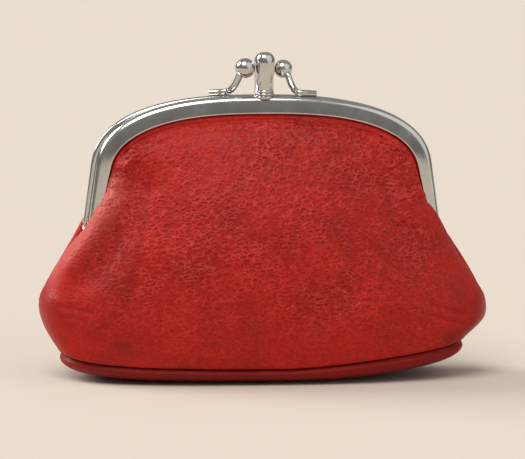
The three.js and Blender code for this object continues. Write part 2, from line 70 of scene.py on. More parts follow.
def fullTurn(count):
    return np.linspace(0, 2 * math.pi, count, endpoint=False)


def evenly(line, shares):  # places on a line of points, at shares of its length
    line = np.asarray(line, float)
    steps = np.linalg.norm(np.diff(line[:, :3], axis=0), axis=1)
    run = np.concatenate([[0], np.cumsum(steps)])
    return np.stack([np.interp(shares, run / run[-1], column) for column in line.T], -1)


def softCurve(points, count):  # smooth line through a few points
    p = np.asarray(points, float)
    p = np.vstack([2 * p[0] - p[1], p, 2 * p[-1] - p[-2]])
    line = []
    spans = len(p) - 3
    for k in range(spans):
        t = np.linspace(0, 1, count // spans, endpoint=k == spans - 1)[:, None]
        a, b, c, d = p[k:k + 4]
        line.append(0.5 * (2 * b + (c - a) * t + (2 * a - 5 * b + 4 * c - d) * t ** 2
                           + (3 * b - a - 3 * c + d) * t ** 3))
    return np.vstack(line)


def softNoise(x, y, seed):  # smooth noise from -1 to 1 with cells of size 1
    cells, away = 64, 500  # the lattice repeats, and its start is well below any place asked for
    lattice = np.random.RandomState(seed).uniform(-1, 1, (cells, cells))
    x, y = np.broadcast_arrays(np.asarray(x, float) + away, np.asarray(y, float) + away)
    cellX, cellY = np.floor(x).astype(int), np.floor(y).astype(int)
    tx, ty = smoothStep(0, 1, x - cellX), smoothStep(0, 1, y - cellY)

    def row(up):
        level = (cellY + up) % cells
        return mix(lattice[cellX % cells, level], lattice[(cellX + 1) % cells, level], tx)

    return mix(row(0), row(1), ty)


def sizedNoise(x, y, size, seed):
    return softNoise(x / size[0], y / size[1], seed)


def gridFaces(rows, columns, start=0, closed=False):
    steps = columns if closed else columns - 1
    r, c = np.meshgrid(np.arange(rows - 1), np.arange(steps), indexing="ij")
    after = (c + 1) % columns
    low, high = r * columns, (r + 1) * columns
    quads = np.stack([low + c, low + after, high + after, high + c], -1)
    return (quads.reshape(-1, 4) + start).tolist()


def addObject(name, data):
    thing = bpy.data.objects.new(name, data)
    bpy.context.scene.collection.objects.link(thing)
    return thing


def shadeSmooth(mesh):
    mesh.polygons.foreach_set("use_smooth", [True] * len(mesh.polygons))


def newPiece(name, points, faces, material):  # closed mesh, turned outwards
    mesh = bpy.data.meshes.new(name)
    mesh.from_pydata((np.asarray(points, float) * mm).tolist(), [], faces)
    work = bmesh.new()
    work.from_mesh(mesh)
    bmesh.ops.recalc_face_normals(work, faces=work.faces)
    work.to_mesh(mesh)
    work.free()
    shadeSmooth(mesh)
    mesh.materials.append(material)
    return addObject(name, mesh)


def rideOn(piece, body, node):  # rigid piece on one body, in the place of one node
    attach(piece, body)
    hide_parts(node)


def tube(rings, closed=False):  # points and faces of rings, with flat ends unless it closes on itself
    rings = np.asarray(rings, float)
    count, sides = rings.shape[:2]
    points = rings.reshape(-1, 3)
    if closed:
        faces = gridFaces(count + 1, sides, closed=True)
        return points, [[i % len(points) for i in face] for face in faces]
    ends = [list(range(sides))[::-1], list(range((count - 1) * sides, count * sides))]
    return points, gridFaces(count, sides, closed=True) + ends


def joined(parts):  # several lists of points and faces as one
    points, faces, start = [], [], 0
    for somePoints, someFaces in parts:
        points.append(np.asarray(somePoints, float))
        faces += [[i + start for i in face] for face in someFaces]
        start += len(somePoints)
    return np.vstack(points), faces


def lathe(profile, sides=64):  # turned shape on the Z axis, whose profile starts and ends on the axis
    profile = np.asarray(profile, float)
    angle = fullTurn(sides)
    radius, height = profile[1:-1, 0], profile[1:-1, 1:2]
    rings = np.stack([np.outer(radius, np.cos(angle)), np.outer(radius, np.sin(angle)),
                      np.repeat(height, sides, 1)], -1)
    points = np.vstack([rings.reshape(-1, 3), [0, 0, profile[0, 1]], [0, 0, profile[-1, 1]]])
    faces = gridFaces(len(rings), sides, closed=True)
    last, low, high = (len(rings) - 1) * sides, len(points) - 2, len(points) - 1
    for k in range(sides):
        after = (k + 1) % sides
        faces += [[low, after, k], [high, last + k, last + after]]
    return points, faces


def wire(path, radii, sides=28):  # round wire along a line
    path = np.asarray(path, float)
    along = unit(np.gradient(path, axis=0))
    side = np.cross(along[0], [0.31, 0.87, 0.38])  # any way that no wire here runs along
    angle = fullTurn(sides)[:, None]
    rings = []
    for point, way, radius in zip(path, along, radii):
        side = unit(side - way * side.dot(way))
        rings.append(point + radius * (np.cos(angle) * side + np.sin(angle) * np.cross(way, side)))
    return tube(rings)


# nodes

def setInputs(tree, node, inputs):  # links a socket, and sets any other value
    for key, value in inputs.items():
        if isinstance(value, bpy.types.NodeSocket):
            tree.links.new(value, node.inputs[key])
        else:
            node.inputs[key].default_value = value


def addNode(tree, kind, inputs=None, **values):
    node = tree.nodes.new(kind)
    for key, value in values.items():
        setattr(node, key, value)
    setInputs(tree, node, inputs or {})
    return node


def mathNode(tree, operation, *values):
    return addNode(tree, "ShaderNodeMath", dict(enumerate(values)), operation=operation).outputs[0]


def times(tree, a, b):
    return mathNode(tree, "MULTIPLY", a, b)


def plus(tree, a, b):
    return mathNode(tree, "ADD", a, b)


def vectorNode(tree, operation, a, b):
    inputs = {0: a, "Scale" if operation == "SCALE" else 1: b}
    return addNode(tree, "ShaderNodeVectorMath", inputs, operation=operation).outputs[0]


def rangeNode(tree, value, low, high, toLow=0.0, toHigh=1.0):
    inputs = {"Value": value, "From Min": low, "From Max": high, "To Min": toLow, "To Max": toHigh}
    return addNode(tree, "ShaderNodeMapRange", inputs, interpolation_type="SMOOTHSTEP").outputs["Result"]


def noiseNode(tree, place, scale, detail, output="Fac"):
    inputs = {"Vector": place, "Scale": scale, "Detail": detail}
    return addNode(tree, "ShaderNodeTexNoise", inputs).outputs[output]


def streakNode(tree, place, scale, turn, detail):  # noise drawn out along one way
    inputs = {"Vector": place, "Rotation": (0, turn, 0), "Scale": scale}
    return noiseNode(tree, addNode(tree, "ShaderNodeMapping", inputs).outputs[0], 1.0, detail)


def mixColour(tree, factor, a, b):
    return addNode(tree, "ShaderNodeMix", {0: factor, 6: a, 7: b}, data_type="RGBA").outputs[2]


def bumpNode(tree, height, look):
    inputs = {"Height": height, "Strength": look["bump"], "Distance": look["bumpDepth"] * mm}
    return addNode(tree, "ShaderNodeBump", inputs).outputs["Normal"]


def coordinates(tree, kind):
    return addNode(tree, "ShaderNodeTexCoord").outputs[kind]


def attributeNode(tree, name, output="Fac"):
    return addNode(tree, "ShaderNodeAttribute", attribute_name=name).outputs[output]


def newMaterial(name):
    material = bpy.data.materials.new(name)
    material.use_nodes = True
    return material, material.node_tree, material.node_tree.nodes["Principled BSDF"]


# materials; a range is low, high and what they become; cloud, speck, hair and scratch are per metre

grain = dict(cell=1.45, stretch=2.0, turn=0.2, warpSize=2.2, warp=1.5, vein=0.11, swell=0.4, height=0.21,
    patch=2.6, patchRange=(0.36, 0.6, 0.3, 1.0))  # vein and swell: shares of a cell
# of the leather's tones, the near-black one darkens stains and paints shade in the left fold's valley, and
# the pale pink one is wear plus a painted highlight along the fold's crest
leatherLook = dict(mid=(0.44, 0.013, 0.007, 1), deep=(0.23, 0.006, 0.004, 1), vein=(0.60, 0.105, 0.083, 1),
    stainAndShade=(0.11, 0.012, 0.010, 1), wearAndSheen=(0.66, 0.20, 0.165, 1), veinShare=0.4, cloud=60.0,
    cloudRange=(0.3, 0.62, 0.6, 0.0), roughRange=(0.3, 0.7, 0.38, 0.5), speck=1300.0,
    speckRange=(0.4, 0.7, 0.0, 0.5), pitRange=(0.2, 0.95, 0.2, 1.0), stainAndShadeRange=(0.35, 1.1, 1.0, 0.35),
    wearAndSheenRange=(0.35, 0.65, 0.6, 1.0), detail=3.0, hair=(260.0, 260.0, 1500.0), hairTurn=0.5, swellBump=0.9,
    speckBump=0.7, hairBump=0.35, bump=0.7, bumpDepth=0.2, specular=0.15)
# the base is the same leather made darker, as painted shade on its roll, which faces down
shadedBaseLook = dict(leatherLook, mid=(0.26, 0.008, 0.005, 1), deep=(0.17, 0.005, 0.003, 1),
    vein=(0.34, 0.028, 0.020, 1))
nickelLook = dict(deep=(0.53, 0.52, 0.49, 1), pale=(0.60, 0.585, 0.555, 1), cloud=160.0,
    toneRange=(0.35, 0.7), roughRange=(0.3, 0.75, 0.10, 0.19), scratch=(300.0, 300.0, 4000.0), bump=0.05,
    bumpDepth=0.02)
liningLook = dict(pale=(0.21, 0.035, 0.028, 1), deep=(0.09, 0.012, 0.010, 1), thread=0.35, slack=0.4,
    cloud=120.0, weaveShare=0.7, rough=0.85, sheen=0.25, bump=0.4, bumpDepth=0.1)
fibreLook = dict(toneRange=(0.3, 0.7), rough=0.9, bump=0.4, bumpDepth=0.1)
threadLook = dict(fibreLook, pale=(0.16, 0.014, 0.012, 1), deep=(0.06, 0.006, 0.005, 1), size=0.3,
    rough=0.8)
paperLook = dict(fibreLook, pale=(0.58, 0.46, 0.28, 1), deep=(0.40, 0.30, 0.17, 1), size=0.5)
cardLook = dict(fibreLook, pale=(0.31, 0.24, 0.14, 1), deep=(0.22, 0.16, 0.09, 1), size=0.4)


def grainNodes(tree, place):  # veins, the swell beside them, and where the cells lie
    warp = noiseNode(tree, place, 1 / (grain["warpSize"] * mm), 2.0, "Color")
    centred = vectorNode(tree, "SUBTRACT", warp, (0.5, 0.5, 0.5))
    bent = vectorNode(tree, "ADD", place, vectorNode(tree, "SCALE", centred, grain["warp"] * mm))
    turned = addNode(tree, "ShaderNodeVectorRotate", {"Vector": bent, "Angle": grain["turn"]},
                     rotation_type="Y_AXIS").outputs[0]
    long = grain["stretch"] ** 0.5
    flat = vectorNode(tree, "MULTIPLY", turned, (1 / long, 1.0, long))
    cells = addNode(tree, "ShaderNodeTexVoronoi", {"Vector": flat, "Scale": 1 / (grain["cell"] * mm)},
                    feature="DISTANCE_TO_EDGE").outputs["Distance"]
    patch = rangeNode(tree, noiseNode(tree, place, 1 / (grain["patch"] * mm), 3.0), *grain["patchRange"])
    veins = times(tree, rangeNode(tree, cells, 0.0, grain["vein"], 1.0, 0.0), patch)
    swell = times(tree, rangeNode(tree, cells, 0.0, grain["swell"], 1.0, 0.0), patch)
    return veins, swell, flat


def leatherMaterial(name, look, grainShare):
    material, tree, shader = newMaterial(name)
    place = attributeNode(tree, "restPlace", "Vector")
    strength = times(tree, attributeNode(tree, "grain"), grainShare)
    veins, swell, flat = grainNodes(tree, place)
    veins, swell = times(tree, veins, strength), times(tree, swell, strength)
    pick = addNode(tree, "ShaderNodeTexVoronoi", {"Vector": flat, "Scale": 1 / (grain["cell"] * mm)})
    cloud = noiseNode(tree, place, look["cloud"], look["detail"])
    speck = noiseNode(tree, place, look["speck"], look["detail"])
    colour = mixColour(tree, rangeNode(tree, cloud, *look["cloudRange"]), look["mid"], look["deep"])
    pit = times(tree, rangeNode(tree, pick.outputs["Color"], *look["pitRange"]),
                mathNode(tree, "SUBTRACT", strength, swell))
    colour = mixColour(tree, mathNode(tree, "MAXIMUM", pit, 0.0), colour, look["deep"])  # darker pebbles
    colour = mixColour(tree, times(tree, veins, look["veinShare"]), colour, look["vein"])
    colour = mixColour(tree, rangeNode(tree, speck, *look["speckRange"]), colour, look["deep"])
    # darker tone: real stains, and painted shade down the left fold's valley
    stainAndShadeMix = times(tree, attributeNode(tree, "stainAndShade"),
                   rangeNode(tree, plus(tree, speck, swell), *look["stainAndShadeRange"]))
    colour = mixColour(tree, stainAndShadeMix, colour, look["stainAndShade"])
    # paler tone along the fold's crest: wear, and a painted highlight
    wearAndSheenMix = times(tree, attributeNode(tree, "wearAndSheen"), rangeNode(tree, speck, *look["wearAndSheenRange"]))
    colour = mixColour(tree, wearAndSheenMix, colour, look["wearAndSheen"])
    hair = streakNode(tree, place, look["hair"], look["hairTurn"], look["detail"])
    height = plus(tree, times(tree, swell, look["swellBump"]), times(tree, speck, look["speckBump"]))
    height = plus(tree, height, times(tree, hair, look["hairBump"]))
    setInputs(tree, shader, {
        "Base Color": colour, "Roughness": rangeNode(tree, cloud, *look["roughRange"]),
        "Specular IOR Level": look["specular"], "Normal": bumpNode(tree, height, look)})
    return material


def nickelMaterial(name, look):
    material, tree, shader = newMaterial(name)
    place = coordinates(tree, "Object")
    cloud = noiseNode(tree, place, look["cloud"], 4.0)
    tone = mixColour(tree, rangeNode(tree, cloud, *look["toneRange"]), look["deep"], look["pale"])
    scratch = streakNode(tree, place, look["scratch"], 0, 2.0)
    setInputs(tree, shader, {
        "Base Color": tone, "Roughness": rangeNode(tree, cloud, *look["roughRange"]), "Metallic": 1.0,
        "Normal": bumpNode(tree, scratch, look)})
    return material


def clothMaterial(name, look):  # plain weave, on the piece's own UV map in metres
    material, tree, shader = newMaterial(name)
    place = coordinates(tree, "UV")
    wave = {"Vector": place, "Scale": 0.5 / (look["thread"] * mm), "Distortion": look["slack"]}
    across, down = [addNode(tree, "ShaderNodeTexWave", wave, bands_direction=way) for way in "XY"]
    weave = times(tree, across.outputs["Fac"], down.outputs["Fac"])
    cloud = noiseNode(tree, place, look["cloud"], 3.0)
    tone = plus(tree, times(tree, weave, look["weaveShare"]), times(tree, cloud, 1 - look["weaveShare"]))
    setInputs(tree, shader, {
        "Base Color": mixColour(tree, tone, look["deep"], look["pale"]), "Roughness": look["rough"],
        "Sheen Weight": look["sheen"], "Normal": bumpNode(tree, weave, look)})
    return material


def fibreMaterial(name, look):  # thread, paper and card
    material, tree, shader = newMaterial(name)
    fibre = noiseNode(tree, coordinates(tree, "Object"), 1 / (look["size"] * mm), 4.0)
    tone = mixColour(tree, rangeNode(tree, fibre, *look["toneRange"]), look["deep"], look["pale"])
    setInputs(tree, shader, {
        "Base Color": tone, "Roughness": look["rough"], "Normal": bumpNode(tree, fibre, look)})
    return material


nickel = nickelMaterial("polishedNickel", nickelLook)
redLeather = leatherMaterial("redLeather", leatherLook, 1.0)
shadedBaseLeather = leatherMaterial("shadedBaseLeather", shadedBaseLook, 0.5)
redThread = fibreMaterial("redThread", threadLook)
liningCloth = clothMaterial("liningCloth", liningLook)
paperCord = fibreMaterial("paperCord", paperLook)
card = fibreMaterial("card", cardLook)
print("materials made")


# frame halves: a bent sheet channel along an arch

arch = dict(crownHalf=46.2, splay=0.14, shoulderDrop=21.0, squareness=2.6, crownShare=0.75, top=82.5,
    legDrop=37.8, shift=0.75, narrow=0.76, narrowing=(52.0, 76.0))  # narrow: width left at the legs
channel = dict(front=-5.2, depth=4.95, face=5.2, inner=4.2, sheet=0.8, faceRoll=1.6, innerRoll=0.95,
    lipRoll=0.6, lean=0.85, tongue=4.6, steps=260)  # the face leans back and runs on as a tongue
hinge = dict(height=41.5, tabRadius=2.2, tab=1.1, tabBack=0.5, tabSoft=0.16, rise=3.2, lap=1.4, rivet=0.95,
    head=1.6, headRise=0.35, tail=1.5, tailRise=0.5, tailSoft=0.45, fit=0.15)
legEnd = arch["crownHalf"] + arch["splay"] * arch["legDrop"]


def archLine():
    side = np.linspace(-1, 1, 6001)
    reach = np.abs(side)
    turn = np.minimum(reach / arch["crownShare"], 1) * math.pi / 2
    power = 2 / arch["squareness"]
    below = np.maximum(reach - arch["crownShare"], 0) / (1 - arch["crownShare"])
    rounded = arch["shoulderDrop"] * (1 - np.maximum(np.cos(turn), 0) ** power)
    drop = rounded + below * (arch["legDrop"] - arch["shoulderDrop"])
    half = (arch["crownHalf"] + arch["splay"] * drop) * np.sin(turn) ** power
    return np.stack([np.sign(side) * half + arch["shift"], 0 * side, arch["top"] - drop], -1)


archPoints = evenly(archLine(), np.linspace(0, 1, 3001))
archWays = unit(np.gradient(archPoints, axis=0))


def onArch(share, inset, y):  # place at a share of the arch's length, moved in by inset
    at = np.linspace(0, 1, len(archPoints))
    x, z, wayX, wayZ = [np.interp(share, at, line[:, k]) for line in (archPoints, archWays) for k in (0, 2)]
    inset = np.asarray(inset, float) * mix(arch["narrow"], 1.0, smoothStep(*arch["narrowing"], z))
    return np.stack(np.broadcast_arrays(x + wayZ * inset, np.asarray(y, float), z - wayX * inset), -1)


def roundCorner(x, y, radius, start, end, steps):
    angle = np.linspace(start, end, steps)
    return np.stack([x + radius * np.cos(angle), y + radius * np.sin(angle)], -1)


def channelSection():  # depth from the outer face, and inset from the outer edge
    c, half, back = channel, math.pi / 2, channel["depth"] - channel["sheet"]
    section = np.vstack([
        roundCorner(c["lipRoll"], c["face"] - c["lipRoll"], c["lipRoll"], half, math.pi, 9),
        roundCorner(c["faceRoll"], c["faceRoll"], c["faceRoll"], math.pi, 3 * half, 13),
        roundCorner(c["depth"] - c["innerRoll"], c["innerRoll"], c["innerRoll"], -half, 0, 8),
        [[c["depth"], c["inner"]], [back, c["inner"]], [back, c["sheet"]]],
        roundCorner(c["faceRoll"], c["faceRoll"], c["faceRoll"] - c["sheet"], 3 * half, math.pi, 6),
        [[c["sheet"], c["face"] - c["lipRoll"]], [c["lipRoll"], c["face"] - c["sheet"]]],
    ])
    low = np.clip((c["depth"] - section[:, 0]) / (c["depth"] - c["faceRoll"]), 0, 1)
    section[:, 0] += c["lean"] * low * (1 - np.clip(section[:, 1] / c["face"], 0, 1))
    return section


def tabPlate(outerX):  # hinge tab in the plane of the leg's web, with softened edges
    h, soft = hinge, hinge["tabSoft"]
    front, back = channel["front"] + channel["sheet"], channel["front"] + channel["depth"] - h["tabBack"]
    top = h["rise"] + h["lap"]
    outline = np.vstack([[[front, top], [front, h["rise"]]],
                         roundCorner(0, 0, h["tabRadius"], math.pi, math.pi * 2.2, 40),
                         [[back, h["rise"]], [back, top]]])
    shrunk = outline + unit(outline.mean(0) - outline) * soft
    rings = []
    for ring, x in ((shrunk, 0), (outline, soft), (outline, h["tab"] - soft), (shrunk, h["tab"])):
        rings.append(np.column_stack([np.full(len(ring), outerX + x), ring + (0, h["height"])]))
    return tube(rings)


def turnedRound(points):
    return np.asarray(points, float) * (-1, -1, 1)


def framePoints():
    section = channelSection()
    shares = np.linspace(0, 1, channel["steps"])
    rings = [onArch(share, section[:, 1], channel["front"] + section[:, 0]) for share in shares]
    cut = np.outer(1 - section[:, 0] / channel["depth"], (0, 0, channel["tongue"]))  # slanted leg ends
    rings = [rings[0] - cut, *rings, rings[-1] - cut]
    tabs = [tabPlate(arch["shift"] - legEnd), tabPlate(arch["shift"] + legEnd - hinge["tab"])]
    return joined([tube(rings), *tabs])


def rivetPoints():  # along X, at the right hinge
    h = hinge
    outer, inner = legEnd + arch["shift"] + h["fit"], legEnd - arch["shift"] - h["tab"] - h["fit"]
    end = inner - h["tailRise"]
    dome = np.linspace(0, math.pi / 2, 12)
    profile = [[0, end], [h["tail"] - h["tailSoft"], end], [h["tail"], inner - h["tailRise"] / 2],
               [h["tail"], inner], [h["rivet"], inner], [h["rivet"], outer]]
    profile += np.stack([h["head"] * np.cos(dome), outer + h["headRise"] * np.sin(dome)], -1).tolist()
    profile[-1][0] = 0
    points, faces = lathe(profile, sides=40)
    return points[:, [2, 1, 0]] + (0, 0, h["height"]), faces


def addMetal(name, body, node, points, faces):
    rideOn(newPiece(name, points, faces, nickel), body, node)


metalPoints, metalFaces = framePoints()
addMetal("frontFrameHalf", "front_half", "front_frame", metalPoints, metalFaces)
addMetal("rearFrameHalf", "rear_half", "rear_frame", turnedRound(metalPoints), metalFaces)
rivet, rivetFaces = rivetPoints()
addMetal("rightRivet", "front_half", "right_hinge_rivet", rivet, rivetFaces)
addMetal("leftRivet", "rear_half", "left_hinge_rivet", turnedRound(rivet), rivetFaces)
print("frame halves made")


# clasp: two posts, and two balls on bent wires that snap past them

clasp = dict(shift=0.9, postY=3.0, head=2.85, dome=3.3, domePower=2.5, seat=0.2, stud=0.6, frontHeight=12.8,
    rearHeight=12.2, rearBevel=0.2, stem=1.85, swell=0.45, collar=2.6, collarHeight=1.6, collarFit=0.05,
    skirt=((0.15, -1.1), (0.35, 0.2)), footWire=0.9, neckWire=1.02, wireEnd=0.14, footY=2.2, footLift=0.08,
    gap=0.1, socket=1.2, entry=(0.55, -0.6, -0.75), climb=(0.34, 0.64, 0.86), rise=(0.1, 0.37, 0.72))
rightBall = dict(side=1, radius=2.7, rise=7.3, past=0.9, near=10.9, far=15.9)
leftBall = dict(side=-1, radius=2.9, rise=8.2, past=0.9, near=10.6, far=15.3)


def domeProfile(top):
    angle = np.linspace(0, math.pi / 2, 24)[:-1]
    power = 2 / clasp["domePower"]
    radius, rise = clasp["head"] * np.cos(angle) ** power, clasp["dome"] * np.sin(angle) ** power
    return np.stack([radius, top - clasp["dome"] + rise], -1).tolist() + [[0, top]]


def frontPostProfile():
    neck, shoulder = clasp["collarHeight"] + clasp["seat"], clasp["frontHeight"] - clasp["dome"]
    t = np.linspace(0, 1, 24)[:-1]
    bend = neck + (shoulder - neck) * clasp["swell"]
    radius = mix(clasp["stem"], clasp["head"], t * t * (3 - 2 * t))
    height = (1 - t) ** 3 * neck + 3 * (1 - t) * t * bend + t ** 3 * shoulder
    stem = np.stack([radius, height], -1).tolist()
    return [[0, -clasp["stud"]], [clasp["stem"], -clasp["stud"]]] + stem + domeProfile(clasp["frontHeight"])


def rearPostProfile():
    inner = clasp["head"] - clasp["rearBevel"]
    foot = [[0, -clasp["stud"]], [inner, -clasp["stud"]], [inner, clasp["seat"]],
            [clasp["head"], clasp["seat"] + clasp["rearBevel"]]]
    return foot + domeProfile(clasp["rearHeight"])


def collarRings():  # two beads, and a skirt down to the frame's rolled edge
    bead, bore = clasp["collarHeight"] / 4, clasp["stem"] + clasp["collarFit"]
    outline = [[bore, clasp["skirt"][0][1]]] + [[clasp["stem"] + out, z] for out, z in clasp["skirt"]]
    for index, radius in enumerate((clasp["collar"], clasp["collar"] - bead / 3)):
        middle = clasp["seat"] + bead * (1 + 2 * index)
        outline += roundCorner(radius - bead, middle, bead, -math.pi / 2, math.pi / 2, 12).tolist()
    outline = np.array(outline + [[bore, clasp["seat"] + clasp["collarHeight"]]])
    out, up = outline.T
    turn = fullTurn(64)
    return tube([np.column_stack([out * math.cos(a), out * math.sin(a), up]) for a in turn], True)


def crownAt(x):  # height of the crown's outside
    share = (1 - (np.abs(x) / arch["crownHalf"]) ** arch["squareness"]) ** (1 / arch["squareness"])
    return arch["top"] - arch["shoulderDrop"] * (1 - share)


def onCrown(side, x):  # middle of a wire that lies on the frame's top
    height = crownAt(x - arch["shift"]) + clasp["footLift"] + clasp["footWire"]
    return np.array([side * x, -side * clasp["footY"], height])


def ballAndArm(b):
    side, count = b["side"], 90
    centre = np.array([clasp["shift"] + side * (clasp["head"] + clasp["gap"] + b["radius"]),
                       side * (clasp["postY"] + b["past"]), arch["top"] + b["rise"]])
    entry = unit(np.array(clasp["entry"]) * (side, side, 1))
    neck, inside = centre + entry * b["radius"], centre + entry * (b["radius"] - clasp["socket"])
    start, flat = onCrown(side, b["far"]), onCrown(side, b["near"])
    climb = [mix(flat, neck, across) for across in clasp["climb"]]  # leaves its foot in a wide bend
    for point, rise in zip(climb, clasp["rise"]):
        point[2] = mix(flat[2], neck[2], rise)
    path = softCurve([start, mix(start, flat, 0.5), flat, *climb, neck, inside], 10 * count)
    path = evenly(path, np.linspace(0, 1, count))
    path = np.vstack([path[0] - (path[1] - path[0]) * 0.3, path])  # softened cut end
    radii = np.linspace(clasp["footWire"], clasp["neckWire"], count)
    radii = np.concatenate([[clasp["footWire"] - clasp["wireEnd"]], radii])
    points, faces = lathe(roundCorner(0, 0, b["radius"], -math.pi / 2, math.pi / 2, 41))
    return wire(path, radii), (points + centre, faces)


def atPost(shape, y):
    return shape[0] + (clasp["shift"], y, arch["top"]), shape[1]


addMetal("frontPost", "front_half", "front_post", *atPost(lathe(frontPostProfile()), -clasp["postY"]))
addMetal("frontPostCollar", "front_half", "front_post_collar", *atPost(collarRings(), -clasp["postY"]))
addMetal("rearPost", "rear_half", "rear_post", *atPost(lathe(rearPostProfile()), clasp["postY"]))
for word, settings in (("front", rightBall), ("rear", leftBall)):
    arm, ball = ballAndArm(settings)
    addMetal(word + "ClaspArm", word + "_half", word + "_clasp_arm", *arm)
    addMetal(word + "ClaspBall", word + "_half", word + "_clasp_ball", *ball)
print("clasp made")


# leather walls: a sheet that leaves the frame's channel, swells, and comes down to the base seam

seam = dict(halfWidth=60.0, halfDepth=18.8, power=2.8, low=4.2, rise=1.8, corner=1.4, lift=3.0,
    liftRun=(5.0, 55.0), baseLift=2.6)  # the purse leans, so seam and base rise at the right
wall = dict(columns=345, rows=205, endColumns=(0.02, 8), endRows=(0.03, 6), coarse=4, fade=3, footRun=22.0,
    lift=1.45, belly=9.0, thickness=1.0, corner=0.262, sideY=-1.9, footInset=0.6, mouthInset=5.45,
    mouthY=-4.35, hemTop=55.5, hemRun=(50.5, 55.0), turnIn=1.1, turnShare=0.8, rollWidth=3.6, rollDepth=1.5,
    foldWidth=6.5, foldDepth=3.2, foldRun=(31.0, 42.0), sideReach=3.5, foldReach=13.0, rimRun=(1.0, 5.0),
    flat=(0.150, 0.088), flatArea=0.0099,  # metres
    hem=((4.6, -4.05), (4.2, -4.0), (3.8, -4.0), (3.4, -4.0), (3.0, -4.0), (2.6, -4.0), (2.6, -3.0),
         (4.4, -3.0)))  # inset and y of the edge inside the channel
sideEdge = [  # out at the front left, the front right and the rear, then forward and up
    (60.0, 60.0, 60.0, 1.9, 8.3), (62.2, 63.9, 62.0, 1.9, 11.5), (64.0, 65.8, 63.8, 1.9, 15.0),
    (65.3, 66.2, 65.0, 1.9, 19.3), (65.2, 65.6, 65.2, 1.9, 23.4), (63.3, 63.5, 63.6, 2.1, 27.2),
    (60.5, 60.9, 61.2, 2.7, 31.3), (57.4, 58.3, 58.9, 4.0, 35.0), (52.6, 55.2, 55.4, 6.8, 40.6),
    (50.0, 53.6, 53.6, 8.2, 43.5), (47.8, 51.5, 51.5, 8.9, 46.6), (46.2, 49.2, 49.2, 8.8, 49.8),
    (45.6, 48.1, 48.0, 8.0, 51.6), (45.4, 47.4, 47.3, 6.8, 53.2)]
relief = dict(
    rolls=((-0.5, 1.8, 1.3, 0.0), (0.4, 7.0, 3.8, 0.0), (-0.4, 1.5, 0.35, 0.5),
           (-0.32, 3.6, 0.45, -0.5)),  # height, distance from the rim, width, waver
    rimLength=150.0, waver=9.0, shoulder=(38.0, 7.0), pucker=(0.15, 0.85), puckerSize=(2.3, 12.0),
    puckerFade=6.5, puckerRun=(0.0, 3.0), wrinkle=(0.15, 0.18), wrinkleSize=(8.0, 2.3), wrinkleSlant=1.6,
    wrinklePower=7, wrinkleFade=5.0, wave=0.25, waveSize=(22.0, 19.0), waveRim=(0.0, 12.0),
    waveFoot=(0.0, 8.0), dent=0.08, dentSize=(6.0, 5.0), dentRun=(2.0, 10.0), taper=0.2, ragged=0.35,
    raggedSize=(3.1, 3.1), spotRun=(0.2, 1.15))
pebble = dict(low=0.4, footRun=(2.0, 20.0), sideLoss=0.7, sideRun=(46.0, 60.0), rimRun=(0.2, 1.8), even=0.8,
    patchy=0.35, patchSize=(12.0, 12.0), gather=0.6, gatherRun=9.0, most=1.3)
frontCreases = [  # line in front view (x, z), width, depth
    ([(-34, 72), (-39.5, 63), (-43, 56), (-45.5, 49), (-49.5, 42), (-55.5, 34), (-61, 26)], 3.2, -2.4),
    ([(35, 72), (41, 63), (44, 56), (46.5, 50)], 3.6, -1.8),
    ([(-34, 67), (-36.5, 56), (-40, 48.6), (-44, 41), (-49, 33), (-53, 24)], 4.4, 1.5),
    ([(-33, 70), (-34.2, 57), (-34.8, 44), (-37.1, 30), (-42.7, 19.6), (-52.3, 9)], 1.5, 0.6),
    ([(34, 70), (36.2, 56), (39, 44), (42, 34)], 2.2, 0.9),
    ([(-61, 22.5), (-54, 21.8), (-47, 20.5)], 0.9, 0.35), ([(-60, 19.6), (-54, 19.2), (-50, 18)], 0.8, 0.3),
    ([(47, 23), (54, 20.6), (61, 18.6)], 0.9, 0.35), ([(48, 19.5), (54, 17.5), (59, 16)], 0.8, 0.3),
    ([(14, 28.5), (26, 27), (40, 27.8)], 1.0, 0.25), ([(20, 25.2), (31, 24.4), (42, 25)], 0.9, 0.2),
    ([(-20, 36), (-8, 34.6), (6, 35.4)], 1.0, 0.2), ([(36, 45.8), (42, 45.2), (50, 43.6)], 0.8, 0.5),
    ([(40.3, 65), (41.3, 59), (43, 53)], 0.8, 0.6), ([(37.5, 67), (40, 62.5), (41, 58)], 0.7, 0.5),
    ([(34, 69.5), (38.5, 66), (42.5, 63.5)], 0.7, 0.5), ([(-39, 68), (-40.5, 62), (-42.5, 57)], 0.7, 0.5),
    ([(-33, 71), (-37.5, 68), (-41, 66)], 0.7, 0.5)]
frontStainsAndShade = [  # x, z, half width, half height, strength; mostly stains, but the spots at x -35.5, -41 and -46.5 are painted shade in the left fold's valley
    (-50, 21, 17, 14, 0.16), (-35.5, 50, 5, 10, 0.3), (-41, 40, 6.5, 9, 0.4), (-46.5, 30.5, 8.5, 9, 0.4),
    (-40.5, 12.0, 4.4, 1.8, 0.7), (-13, 13.5, 5.5, 3.2, 0.25), (56, 28, 5, 5, 0.45),
    (54.5, 12.5, 5.5, 4, 0.5), (-47, 40, 4, 5, 0.25), (20, 45, 7, 4, 0.2), (-40, 10.5, 6, 2.5, 0.3),
    (8, 60, 9, 4, 0.15)]
frontWearAndSheen = [  # line, width, strength; a paler tone along the left fold's crest, part wear and part painted highlight
    ([(-40, 62), (-42.6, 56), (-46.3, 48.6), (-53, 41), (-61, 31.5), (-64, 25)], 2.5, 0.5)]
